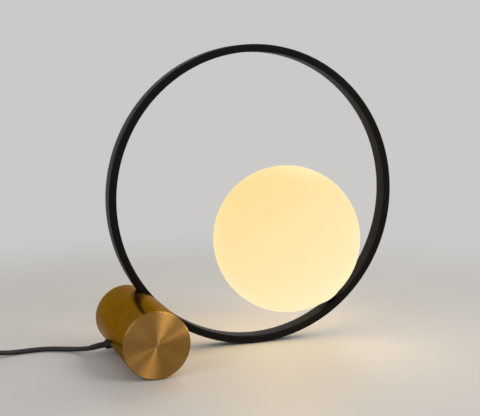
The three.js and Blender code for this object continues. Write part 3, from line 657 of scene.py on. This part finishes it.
def make_hoop():
    hoop = hoop_ring("hoop_ring", 0)
    foot_low, foot_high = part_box("hoop_foot")
    pocket = box_piece("pocket", (foot_low.x - GAP, -POCKET_REACH, -POCKET_BELOW),
                       (foot_high.x + GAP, POCKET_REACH, foot_high.z + GAP))
    carve(hoop, pocket)
    return seat(hoop, "lamp", "black_metal", "hoop", material="hoop_coat")


def make_barrel():
    place = axis_frame(BASE_CENTRE, REARWARD)
    front, rear = BASE_FRONT + CAP_THICK + GAP, BASE_REAR - CAP_THICK - GAP
    corners = ring_corners(BASE_R - BARREL_WALL, BASE_R, front, rear)
    barrel = turned_piece("barrel_tube", corners, BARREL_EDGE, place, BASE_STEPS)
    carve(barrel, hoop_ring("slot", GAP))
    for foot in ("front_foot", "rear_foot"):
        low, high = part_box(foot)
        carve(barrel, box_piece("pocket", (low.x - GAP, low.y - GAP, -POCKET_BELOW),
                                (high.x + GAP, high.y + GAP, high.z + GAP)))
    return seat(barrel, "lamp", "brass", "base_barrel")


def make_caps():
    """The two spun discs, each with a spigot in the tube and a small dent at its centre."""
    spigot_r = BASE_R - BARREL_WALL - GAP
    spigot_end = CAP_THICK + CAP_SPIGOT
    profile = [
        (BASE_R, 0), (BASE_R, CAP_THICK), (spigot_r, CAP_THICK), (spigot_r, spigot_end),
        (0, spigot_end), *CAP_DENT,
    ]
    edges = [CAP_EDGE] + [CAP_SMALL_EDGE] * (len(profile) - 1)
    front = axis_frame(BASE_CENTRE + REARWARD * BASE_FRONT, REARWARD)
    rear = axis_frame(BASE_CENTRE + REARWARD * BASE_REAR, -REARWARD)
    for name, place, node in (("front_disc", front, "front_cap"), ("rear_disc", rear, "rear_cap")):
        cap = turned_piece(name, profile, edges, place, BASE_STEPS)
        seat(cap, "lamp", "brass", node, material="brass_face")


def globe_arc(r, opening_r):
    """Points on a sphere about the globe's centre, from round its opening to the far side."""
    start = math.asin(opening_r / r)
    points = []
    for i in range(GLOBE_RINGS):
        angle = start + (math.pi - start) * i / GLOBE_RINGS
        points.append((r * math.sin(angle), GLOBE_GAP + GLOBE_R - r * math.cos(angle)))
    return [*points, (0, GLOBE_GAP + GLOBE_R + r)]


LIP_STEPS = 8
SHOULDER_R = 3 * MM
SHOULDER_PULL = 0.4 * MM


def make_globe():
    """The glass shell, with a short neck whose lip is melted round."""
    neck_r = GLOBE_MOUTH_R + GLOBE_WALL
    lip_r = GLOBE_WALL / 2
    lip_y = GLOBE_GAP - GLOBE_NECK + lip_r
    lip = []
    for k in range(LIP_STEPS + 1):
        turn = math.pi + math.pi * k / LIP_STEPS
        lip.append((GLOBE_MOUTH_R + lip_r + lip_r * math.cos(turn), lip_y + lip_r * math.sin(turn)))
    shoulder = globe_arc(GLOBE_R, neck_r + SHOULDER_R)
    start = Vector((neck_r, shoulder[0][1] - SHOULDER_R))
    corner = Vector((neck_r, shoulder[0][1] - SHOULDER_PULL))
    end = Vector(shoulder[0])
    fillet = []
    for k in range(LIP_STEPS):
        t = k / LIP_STEPS
        fillet.append(tuple(start * (1 - t) ** 2 + corner * 2 * t * (1 - t) + end * t ** 2))
    inside = globe_arc(GLOBE_R - GLOBE_WALL, GLOBE_MOUTH_R)
    profile = [*lip, *fillet, *shoulder, *reversed(inside)]
    globe = lathe("globe_glass", profile, GLOBE_STEPS, fitting_place(), SHARP_GLOBE)
    return seat(globe, "globe", "opal_glass", "globe")


def make_fitting_foot():
    corners = ring_corners(FITTING_BORE_R, FITTING_FOOT_R, FITTING_FOOT_LOW, FITTING_FOOT_HIGH)
    foot = turned_piece("fitting_boss", corners, FITTING_FOOT_EDGE, fitting_place(), FITTING_STEPS)
    return seat(foot, "lamp", "black_metal", "fitting_foot")


BUSH_INSIDE = 13 * MM
BUSH_COLLAR_R = 6.1 * MM
BUSH_COLLAR_OUT = 4.2 * MM
BUSH_ROOT_R = 4.1 * MM
BUSH_TIP_R = 3.6 * MM
BUSH_LENGTH = 25 * MM
BUSH_GROOVE = 0.3 * MM
BUSH_PITCH = 3.4 * MM
BUSH_WAVE = (0.1, 0.8)
BUSH_PLAIN_END = 0.06
BUSH_TIP_ROUND = 0.4 * MM
BUSH_STEPS = 66
BUSH_LINE_STEP = 1 * MM
# Distance from the wall and share of the collar's radius
BUSH_COLLAR = [
    (-BUSH_INSIDE, 0.9), (0.4 * MM - BUSH_INSIDE, 1), (BUSH_COLLAR_OUT - 0.7 * MM, 1),
    (BUSH_COLLAR_OUT - 0.2 * MM, 0.96), (BUSH_COLLAR_OUT, 0.9),
]
CORD_WAY = Vector((-1, 0.03, -0.06)).normalized()


def along_line(line, places):
    """The points at given distances along a line."""
    made = []
    run = 0.0
    i = 0
    for place in places:
        while i + 2 < len(line) and run + (line[i + 1] - line[i]).length < place:
            run += (line[i + 1] - line[i]).length
            i += 1
        step = (line[i + 1] - line[i]).length
        made.append(line[i].lerp(line[i + 1], (place - run) / step))
    return made


def bush_radius(place):
    """The relief's radius at a distance from the wall: a taper with soft grooves round it."""
    share = (place - BUSH_COLLAR_OUT) / (BUSH_LENGTH - BUSH_COLLAR_OUT)
    taper = BUSH_ROOT_R + (BUSH_TIP_R - BUSH_ROOT_R) * share
    wave = math.cos(2 * math.pi * (place - BUSH_COLLAR_OUT) / BUSH_PITCH)
    groove = smoothstep(wave, *BUSH_WAVE) * BUSH_GROOVE
    if share < BUSH_PLAIN_END or share > 1 - BUSH_PLAIN_END:
        groove = 0
    return taper - groove


def make_bush():
    """The strain relief: a collar through the wall, then a grooved taper that bends with the cord."""
    exit_place = Vector(CORD_POINTS_MM[0]) * MM
    line = smooth_line([Vector(place) * MM for place in CORD_POINTS_MM], BUSH_LINE_STEP)
    points = [exit_place + CORD_WAY * place for place, share in BUSH_COLLAR]
    radii = [BUSH_COLLAR_R * share for place, share in BUSH_COLLAR]
    places = []
    for i in range(1, BUSH_STEPS + 1):
        places.append(BUSH_COLLAR_OUT + (BUSH_LENGTH - BUSH_COLLAR_OUT) * i / BUSH_STEPS)
    points += along_line(line, places)
    radii += [bush_radius(place) for place in places]
    radii[-1] -= BUSH_TIP_ROUND
    return seat(sweep("cord_relief", points, radii, SLEEVE_STEPS), "lamp", "rubber", "cord_bush")


LEAST_CORNER = 0.2 * MM


def switch_body(name, levels, half_x=SWITCH_LENGTH / 2, half_y=SWITCH_WIDTH / 2, corner=SWITCH_CORNER):
    """A body with a rounded outline, from (height, inset) levels, about the switch's middle."""
    sections = []
    for z, inset in levels:
        outline = rounded_outline(half_x - inset, half_y - inset, max(LEAST_CORNER, corner - inset))
        sections.append([Vector((SWITCH_X + x, SWITCH_Y + y, z)) for x, y in outline])
    return loft(name, sections, SHARP_SHELL)


def circle(r, steps):
    turns = [2 * math.pi * k / steps for k in range(steps)]
    return [(r * math.cos(turn), r * math.sin(turn)) for turn in turns]


def upright(r, low, high, x):
    """A vertical rod in the switch, at a distance from its middle."""
    sections = []
    for end in (low, high):
        centre = Vector((SWITCH_X + x, SWITCH_Y, end))
        sections.append([centre + Vector((a, b, 0)) for a, b in circle(r, ROUND_STEPS)])
    return loft("rod", sections)


def across(r, half, z):
    """A rod along Y through the switch at a height."""
    sections = []
    for y in (-half, half):
        sections.append([Vector((SWITCH_X + b, SWITCH_Y + y, z + a)) for a, b in circle(r, PIN_STEPS)])
    return loft("rod", sections)


def lengthways(r, half, z):
    """A rod along X through the switch at a height."""
    sections = []
    for x in (-half, half):
        sections.append([Vector((SWITCH_X + x, SWITCH_Y + a, z + b)) for a, b in circle(r, ROUND_STEPS)])
    return loft("rod", sections)


BOSS_X = 23 * MM
BOSS_R = 3.4 * MM
SCREW_R = 1.3 * MM
SCREW_HEAD_R = 2.6 * MM
SCREW_HEAD = 1.4 * MM
SCREW_LENGTH = 11 * MM
WINDOW_HALF_X = 8.5 * MM
WINDOW_HALF_Y = 5.6 * MM
RIB_THICK = 2 * MM
RIB_HEIGHT = 7.5 * MM
RIB_HALF = 3.5 * MM
PIN_R = 1.2 * MM
PIVOT_DEPTH = 3.6 * MM
PIVOT_Z = SWITCH_TOP - PIVOT_DEPTH
PIN_HALF = WINDOW_HALF_Y + GAP + RIB_THICK
DEEP = 3 * MM
CORD_HOLE_R = CORD_R + 0.15 * MM
PIN_HOLE_R = PIN_R + 0.06 * MM
PARTING_EDGE = 0.25 * MM
PARTING_HEIGHT = 0.3 * MM
BASE_EDGE = 1.6 * MM
BASE_EDGE_STEPS = 5
BOSS_FOOT = 0.5 * MM
COVER_EDGE = 3 * MM
COVER_EDGE_STEPS = 7
COVER_DRAFT = 0.5 * MM
WINDOW_EDGE = 0.5 * MM
WINDOW_CORNER = 0.9 * MM


def make_switch_lower():
    levels = []
    for k in range(BASE_EDGE_STEPS + 1):
        turn = math.pi / 2 * k / BASE_EDGE_STEPS
        levels.append((GAP + BASE_EDGE * (1 - math.sin(turn)), BASE_EDGE * (1 - math.cos(turn))))
    levels.reverse()
    levels += [(SWITCH_SPLIT - PARTING_HEIGHT, 0), (SWITCH_SPLIT, PARTING_EDGE)]
    shell = switch_body("switch_base", levels)
    inside = [(GAP + SWITCH_WALL, SWITCH_WALL), (SWITCH_SPLIT + DEEP, SWITCH_WALL)]
    carve(shell, switch_body("cutter", inside))
    for x in (-BOSS_X, BOSS_X):
        carve(shell, upright(BOSS_R, GAP + BOSS_FOOT, SWITCH_SPLIT, x), "UNION")
        carve(shell, upright(SCREW_R + GAP, -DEEP, SWITCH_SPLIT + DEEP, x))
        carve(shell, upright(SCREW_HEAD_R + GAP, -DEEP, GAP * 3 + SCREW_HEAD, x))
    carve(shell, lengthways(CORD_HOLE_R, SWITCH_LENGTH, SWITCH_SPLIT))
    return seat(shell, "lamp", "black_plastic", "switch_lower")


def make_switch_upper():
    low = SWITCH_SPLIT + GAP
    levels = [(low, PARTING_EDGE), (low + PARTING_HEIGHT, 0)]
    for k in range(COVER_EDGE_STEPS + 1):
        turn = math.pi / 2 * k / COVER_EDGE_STEPS
        inset = COVER_DRAFT + COVER_EDGE * (1 - math.cos(turn))
        levels.append((SWITCH_TOP - COVER_EDGE + COVER_EDGE * math.sin(turn), inset))
    shell = switch_body("switch_cover", levels)
    inside = [(low - DEEP, SWITCH_WALL), (SWITCH_TOP - SWITCH_WALL, SWITCH_WALL + COVER_DRAFT)]
    carve(shell, switch_body("cutter", inside))
    for x in (-BOSS_X, BOSS_X):
        carve(shell, upright(BOSS_R, low, SWITCH_TOP - SWITCH_WALL / 2, x), "UNION")
        carve(shell, upright(SCREW_R + GAP, low - DEEP, GAP * 3 + SCREW_HEAD + SCREW_LENGTH, x))
    for side in (-1, 1):
        near, far = sorted((side * (WINDOW_HALF_Y + GAP), side * (WINDOW_HALF_Y + GAP + RIB_THICK)))
        rib = box_piece("rib", (SWITCH_X - RIB_HALF, SWITCH_Y + near, SWITCH_TOP - SWITCH_WALL - RIB_HEIGHT),
                        (SWITCH_X + RIB_HALF, SWITCH_Y + far, SWITCH_TOP - SWITCH_WALL / 2))
        carve(shell, rib, "UNION")
    opening = [(SWITCH_SPLIT, 0), (SWITCH_TOP - WINDOW_EDGE, 0), (SWITCH_TOP, -WINDOW_EDGE),
               (SWITCH_TOP + DEEP, -WINDOW_EDGE)]
    window = switch_body("window", opening, WINDOW_HALF_X, WINDOW_HALF_Y, WINDOW_CORNER)
    carve(shell, window)
    carve(shell, across(PIN_HOLE_R, PIN_HALF + GAP, PIVOT_Z))
    carve(shell, lengthways(CORD_HOLE_R, SWITCH_LENGTH, SWITCH_SPLIT))
    return seat(shell, "lamp", "black_plastic", "switch_upper")


ROCKER_HALF = 7.5 * MM
ROCKER_HALF_WIDTH = 5.2 * MM
ROCKER_HALF_HEIGHT = 3.5 * MM
ROCKER_DIP = 1.2 * MM
ROCKER_TILT = math.radians(8)
ROCKER_TOP_STEPS = 10
ROCKER_EDGE = 0.5 * MM
# Share of the half width, and how far the outline is drawn in there
ROCKER_SIDES = [(-1, 0.94), (-0.98, 0.975), (-0.93, 1), (0.93, 1), (0.98, 0.975), (1, 0.94)]
MARK_X = 4.2 * MM
BAR_HALF_X = 0.3 * MM
BAR_HALF_Y = 1.5 * MM
BAR_LOW = 0.2 * MM
BAR_HIGH = 0.12 * MM
RING_R = 1.6 * MM
RING_INNER_R = 1.1 * MM
RING_LOW = 0.25 * MM
RING_HIGH = 0.13 * MM


def rocker_place():
    return Matrix.Translation((SWITCH_X, SWITCH_Y, PIVOT_Z)) @ Matrix.Rotation(ROCKER_TILT, 4, "Y")


def rocker_top(x):
    """The height of the rocker's dished top at a distance from its middle."""
    share = (x / ROCKER_HALF + 1) / 2
    top = ROCKER_HALF_HEIGHT + ROCKER_DIP
    return top - ROCKER_DIP * 4 * share * (1 - share)


def make_rocker():
    place = rocker_place()
    top = []
    for k in range(2 * ROCKER_TOP_STEPS + 1):
        x = ROCKER_HALF * (1 - k / ROCKER_TOP_STEPS)
        top.append((x, rocker_top(x)))
    corners = [(-ROCKER_HALF, -ROCKER_HALF_HEIGHT), (ROCKER_HALF, -ROCKER_HALF_HEIGHT), *top]
    outline = soften(corners, ROCKER_EDGE, 3)
    sections = []
    for y, inset in ROCKER_SIDES:
        sections.append([place @ Vector((p.x * inset, ROCKER_HALF_WIDTH * y, p.y * inset)) for p in outline])
    rocker = loft("rocker_key", sections)
    carve(rocker, across(PIN_HOLE_R, ROCKER_HALF_WIDTH * 2, PIVOT_Z))
    seat(rocker, "rocker", "black_plastic", "switch_rocker")


def make_rocker_marks():
    """The bar and the ring that stand a little proud of the rocker's dished top."""
    bar = box_piece("rocker_mark_bar", (MARK_X - BAR_HALF_X, -BAR_HALF_Y, rocker_top(MARK_X) - BAR_LOW),
                    (MARK_X + BAR_HALF_X, BAR_HALF_Y, rocker_top(MARK_X) + BAR_HIGH))
    fall = rocker_top(-MARK_X - RING_R) - rocker_top(-MARK_X + RING_R)
    tilt = Matrix.Rotation(math.atan2(fall, RING_R * 2), 4, "Y")
    upright_turn = Matrix.Rotation(math.pi / 2, 4, "X")
    stand = Matrix.Translation((-MARK_X, 0, rocker_top(-MARK_X))) @ tilt @ upright_turn
    profile = ring_corners(RING_INNER_R, RING_R, -RING_LOW, RING_HIGH)
    ring = lathe("rocker_mark_ring", profile, ROUND_STEPS, stand)
    for mark in (bar, ring):
        mark.data.transform(rocker_place())
        seat(mark, "rocker", "white_plastic")


# Distance from the switch's end and radius, in mm
SLEEVE_PROFILE_MM = [
    (-3, 5), (0.4, 5), (1, 4.7), (2, 4.65), (2.4, 4.3), (3.2, 4.25), (3.6, 4.55), (4.6, 4.5), (5, 4.15),
    (5.8, 4.1), (6.2, 4.4), (7.2, 4.3), (8, 4.1), (8.4, 3.7),
]


def make_switch_reliefs():
    """A short tapered sleeve on the cord at each end of the switch."""
    for side, name in ((1, "switch_sleeve_lamp_side"), (-1, "switch_sleeve_plug_side")):
        points, radii = [], []
        for place, r in SLEEVE_PROFILE_MM:
            x = SWITCH_X + side * (SWITCH_LENGTH / 2 + place * MM)
            points.append(Vector((x, SWITCH_Y, SWITCH_SPLIT)))
            radii.append(r * MM)
        seat(sweep(name, points, radii, SLEEVE_STEPS), "lamp", "rubber")


PLUG_LENGTH = 32 * MM
PLUG_STEPS = 7
PLUG_PIN_R = 2 * MM
PLUG_PIN_LENGTH = 19 * MM
PLUG_PIN_SEAT = 6 * MM
PLUG_PIN_X = 9.3 * MM
PLUG_DOME_TURNS = (0.35, 0.7, 1.05, 1.35, math.pi / 2)
PIN_SLEEVE_HALF = 0.05 * MM
PIN_SLEEVE_OUT = 9 * MM
PIN_SLEEVE_IN = 0.5 * MM

# Sections as y, half width, half thickness and corner, in mm, with the relief's ribs between the two lists
PLUG_TIP_MM = [(22, 3.7, 3.7, 3.6), (21.7, 4.0, 4.0, 3.9)]
PLUG_RIBS = 5
PLUG_RIB_START_MM = 19.5
PLUG_RIB_PITCH_MM = 3.2
PLUG_RIB_R_MM = 4.1
PLUG_RIB_GROWTH_MM = 0.27
PLUG_RIB_GROOVE_MM = 0.6
PLUG_GROOVE_START_MM = 0.3
PLUG_GROOVE_END_MM = 1.1
PLUG_RIB_NEXT_MM = 1.4
PLUG_RIB_STEP_MM = 0.1
PLUG_RIB_CORNER = 0.97
PLUG_BODY_MM = [
    (3.6, 5.45, 5.45, 5.3), (1.2, 5.6, 5.6, 5.45), (-1, 6.3, 5.8, 5.6), (-3, 7.8, 6.2, 5.7),
    (-5.5, 10.6, 6.6, 5.7), (-8, 13.4, 6.9, 5.6), (-10.5, 15.6, 7, 5.4), (-13, 16.7, 7, 5.2),
    (-16, 17, 7, 5), (-22, 17, 7, 5), (-29.6, 17, 7, 5), (-30.8, 16.85, 6.85, 4.9),
    (-31.6, 16.4, 6.4, 4.5), (-32, 15.7, 5.7, 3.8),
]


def plug_place():
    last = cord_route()[-2]
    return Vector((last.x, last.y - PLUG_RELIEF - GAP, PLUG_Z))


def plug_sections():
    """(y, half width, half thickness, corner) from the relief's tip to the pin face, in mm."""
    made = [*PLUG_TIP_MM]
    for k in range(PLUG_RIBS):
        y = PLUG_RIB_START_MM - k * PLUG_RIB_PITCH_MM
        r = PLUG_RIB_R_MM + k * PLUG_RIB_GROWTH_MM
        low = r - PLUG_RIB_GROOVE_MM
        wide = r + PLUG_RIB_STEP_MM
        made += [(y, r, r, r * PLUG_RIB_CORNER),
                 (y - PLUG_GROOVE_START_MM, low, low, low * PLUG_RIB_CORNER),
                 (y - PLUG_GROOVE_END_MM, low, low, low * PLUG_RIB_CORNER),
                 (y - PLUG_RIB_NEXT_MM, wide, wide, r * PLUG_RIB_CORNER)]
    return made + PLUG_BODY_MM


def make_plug():
    place = plug_place()
    sections = []
    for y, half_x, half_z, r in plug_sections():
        outline = rounded_outline(half_x * MM, half_z * MM, r * MM, PLUG_STEPS)
        sections.append([place + Vector((x, y * MM, z)) for x, z in outline])
    sections.reverse()
    plug = loft("plug_moulding", sections, SHARP_SHELL)
    stands = {}
    for side, name in ((-1, "left"), (1, "right")):
        stands[name] = Matrix.Translation(place + Vector((side * PLUG_PIN_X, -PLUG_LENGTH, 0)))
        hole = ring_corners(0, PLUG_PIN_R + GAP, -DEEP, PLUG_PIN_SEAT)
        carve(plug, lathe("seat", hole, SEAT_STEPS, stands[name]))
    seat(plug, "lamp", "black_plastic", "plug_body")
    for name, stand in stands.items():
        make_pin(name, stand)


def make_pin(name, stand):
    """A round pin with a domed end, and the insulating sleeve on it."""
    dome = [(PLUG_PIN_R * math.sin(t), -PLUG_PIN_LENGTH + PLUG_PIN_R * (1 - math.cos(t)))
            for t in PLUG_DOME_TURNS]
    root = PLUG_PIN_SEAT - GAP
    profile = [(0, -PLUG_PIN_LENGTH), *dome, (PLUG_PIN_R, root), (0, root)]
    pin = lathe("plug_pin_round_" + name, profile, ROUND_STEPS, stand)
    seat(pin, "lamp", "nickel", "plug_pin_" + name)
    corners = ring_corners(PLUG_PIN_R - PIN_SLEEVE_HALF, PLUG_PIN_R + PIN_SLEEVE_HALF,
                           -PIN_SLEEVE_OUT, PIN_SLEEVE_IN)
    seat(lathe("plug_pin_sleeve_" + name, corners, ROUND_STEPS, stand), "lamp", "black_plastic")


TIE_HALF_WIDTH = 4 * MM
TIE_THICK = 1 * MM
TIE_CORNER = 4 * MM
TIE_CLEAR = 0.5 * MM
TIE_EDGE = 0.25 * MM
TIE_EDGE_WIDTH = 0.94
TIE_STEPS = 6


def band(name, rings):
    """A closed ring-shaped body through closed outlines, the last joined to the first."""
    sides = len(rings[0])
    verts = [point for ring in rings for point in ring]
    faces = []
    for i in range(len(rings)):
        j = (i + 1) % len(rings)
        for k in range(sides):
            n = (k + 1) % sides
            faces.append((i * sides + k, j * sides + k, j * sides + n, i * sides + n))
    return finish_mesh(name, verts, faces, SHARP_LOFT)


def make_tie():
    reach = COIL_HALF_BAND + CORD_R + TIE_CLEAR
    top = COIL_LIFT + CORD_R * 2 + COIL_PITCH + TIE_CLEAR
    low = COIL_LIFT - TIE_CLEAR
    centre = Vector((COIL_X + COIL_MID_R, COIL_Y, (top + low) / 2))
    rings = []
    for out, y in ((0, -1), (TIE_THICK - TIE_EDGE, -1), (TIE_THICK, -TIE_EDGE_WIDTH),
                   (TIE_THICK, TIE_EDGE_WIDTH), (TIE_THICK - TIE_EDGE, 1), (0, 1)):
        corner = TIE_CORNER - TIE_THICK + out
        outline = rounded_outline(reach + out, (top - low) / 2 + out, corner, TIE_STEPS)
        rings.append([centre + Vector((x, TIE_HALF_WIDTH * y, z)) for x, z in outline])
    return seat(band("tie_strap", rings), "lamp", "rubber", "cord_tie")


# The camera and the cord come first
make_camera()
cord = make_cord()
make_hoop()
make_barrel()
make_caps()
make_globe()
make_fitting_foot()
make_bush()
make_switch_lower()
make_switch_upper()
make_rocker()
make_rocker_marks()
make_switch_reliefs()
make_plug()
make_tie()

FOOT_EDGE = 0.2 * MM
FOOT_EDGE_STEPS = 3
slots = {s["node"]: s["material_slot"] for s in frame["record"]["subparts"]}
for name, node in frame["nodes"].items():
    paint(node, slots[name])
for name in ("front_foot", "rear_foot", "hoop_foot"):
    edge = frame["nodes"][name].modifiers.new("edge", "BEVEL")
    edge.width = FOOT_EDGE
    edge.segments = FOOT_EDGE_STEPS


FLOOR_COLOR = (0.7, 0.687, 0.667)
FLOOR_ROUGHNESS = 0.55
FLOOR_REACH = 14
FADE_START = 0.4
FADE_END = 1.0
BACK_COLOR = (0.6, 0.591, 0.577)
SKY_COLOR = (1.0, 0.985, 0.96)
SKY_STRENGTH = 0.38


def seen_rays(tree):
    """One on the rays that show the room: from the camera, off a gloss and through glass."""
    path = tree.nodes.new("ShaderNodeLightPath")
    seen = path.outputs["Is Camera Ray"]
    for ray in ("Is Glossy Ray", "Is Transmission Ray"):
        either = tree.nodes.new("ShaderNodeMath")
        either.operation = "MAXIMUM"
        tree.links.new(seen, either.inputs[0])
        tree.links.new(path.outputs[ray], either.inputs[1])
        seen = either.outputs[0]
    return seen


def mixed(tree, share, first, second, output):
    """Shows the second shader in place of the first by a share."""
    mix = tree.nodes.new("ShaderNodeMixShader")
    for out, into in zip((share, first.outputs[0], second.outputs[0]), mix.inputs):
        tree.links.new(out, into)
    tree.links.new(mix.outputs[0], tree.nodes[output].inputs["Surface"])


def make_floor():
    made = Nodes("pale_floor", FLOOR_COLOR, FLOOR_ROUGHNESS)
    far = made.add("ShaderNodeMapRange", interpolation_type="SMOOTHSTEP")
    made.link(made.length(made.place()), far.inputs["Value"])
    far.inputs["From Min"].default_value = FADE_START
    far.inputs["From Max"].default_value = FADE_END
    share = made.compute("MULTIPLY", seen_rays(made.tree), far.outputs[0])
    glow = made.add("ShaderNodeEmission")
    glow.inputs["Color"].default_value = (*BACK_COLOR, 1)
    mixed(made.tree, share, made.shader, glow, "Material Output")
    corners = [(-1, -1), (1, -1), (1, 1), (-1, 1)]
    mesh = bpy.data.meshes.new("studio_floor")
    mesh.from_pydata([(x * FLOOR_REACH, y * FLOOR_REACH, 0) for x, y in corners], [], [(0, 1, 2, 3)])
    mesh.materials.append(made.material)
    floor = bpy.data.objects.new("studio_floor", mesh)
    scene.collection.objects.link(floor)


def make_world():
    world = bpy.data.worlds.new("studio_world")
    world.use_nodes = True
    scene.world = world
    tree = world.node_tree
    light = tree.nodes["Background"]
    light.inputs["Color"].default_value = (*SKY_COLOR, 1)
    light.inputs["Strength"].default_value = SKY_STRENGTH
    back = tree.nodes.new("ShaderNodeBackground")
    back.inputs["Color"].default_value = (*BACK_COLOR, 1)
    mixed(tree, seen_rays(tree), light, back, "World Output")


def linked(name, *pieces):
    """A collection of named pieces, for a lamp that lights or is shaded by these alone."""
    made = bpy.data.collections.new(name)
    for piece in pieces:
        made.objects.link(bpy.data.objects[piece])
    return made


def area_light(name, place, target, size, power, color):
    data = bpy.data.lights.new(name, "AREA")
    data.shape = "DISK"
    data.size = size
    data.energy = power
    data.color = color
    lamp = bpy.data.objects.new(name, data)
    lamp.location = place
    lamp.rotation_mode = "QUATERNION"
    lamp.rotation_quaternion = (Vector(target) - Vector(place)).to_track_quat("-Z", "Y")
    scene.collection.objects.link(lamp)
    return lamp


GLOW_POWER = 1.2
GLOW_LIGHT = (1.0, 0.66, 0.32)
GLOW_SIZE = 0.9


def make_glow():
    """The bulb's warm light, which leaves through the glass on to the hoop, base and floor."""
    data = bpy.data.lights.new("globe_glow", "POINT")
    data.shadow_soft_size = GLOBE_R * GLOW_SIZE
    data.energy = GLOW_POWER
    data.color = GLOW_LIGHT
    lamp = bpy.data.objects.new("globe_glow", data)
    lamp.location = FITTING_START + GLOBE_INWARD * (GLOBE_GAP + GLOBE_R)
    scene.collection.objects.link(lamp)
    lamp.light_linking.blocker_collection = linked(
        "glow_blockers", "hoop_ring", "barrel_tube", "front_disc", "rear_disc", "fitting_boss",
        "cord_relief", "mains_cord", "switch_base", "switch_cover", "plug_moulding")


DISC_MIDDLE = (-0.168, -0.119, 0.042)
# Name, place, target, size, watts and colour; the spun lamps light the brass alone
LAMPS = [
    ("key", (1.3, -1.7, 1.8), (0, 0, 0.15), 1.4, 18, (1, 0.98, 0.95)),
    ("spun_narrow", (1.0, -2.33, 0.75), DISC_MIDDLE, 0.65, 15, (1, 0.97, 0.9)),
    ("spun_low", (2.04, -1.08, 0.17), DISC_MIDDLE, 0.32, 17, (1, 0.92, 0.8)),
    ("fill", (-1.9, -1.2, 1.2), (0, 0, 0.15), 1.6, 12, (1, 1, 1)),
    ("back", (1.2, 1.8, 2.0), (0, 0, 0.2), 1.4, 14, (1, 1, 1)),
]

make_floor()
make_world()
brass = linked("brass_receivers", "front_disc", "rear_disc", "barrel_tube")
for name, *facts in LAMPS:
    lamp = area_light(name, *facts)
    if name.startswith("spun"):
        lamp.light_linking.receiver_collection = brass
make_glow()
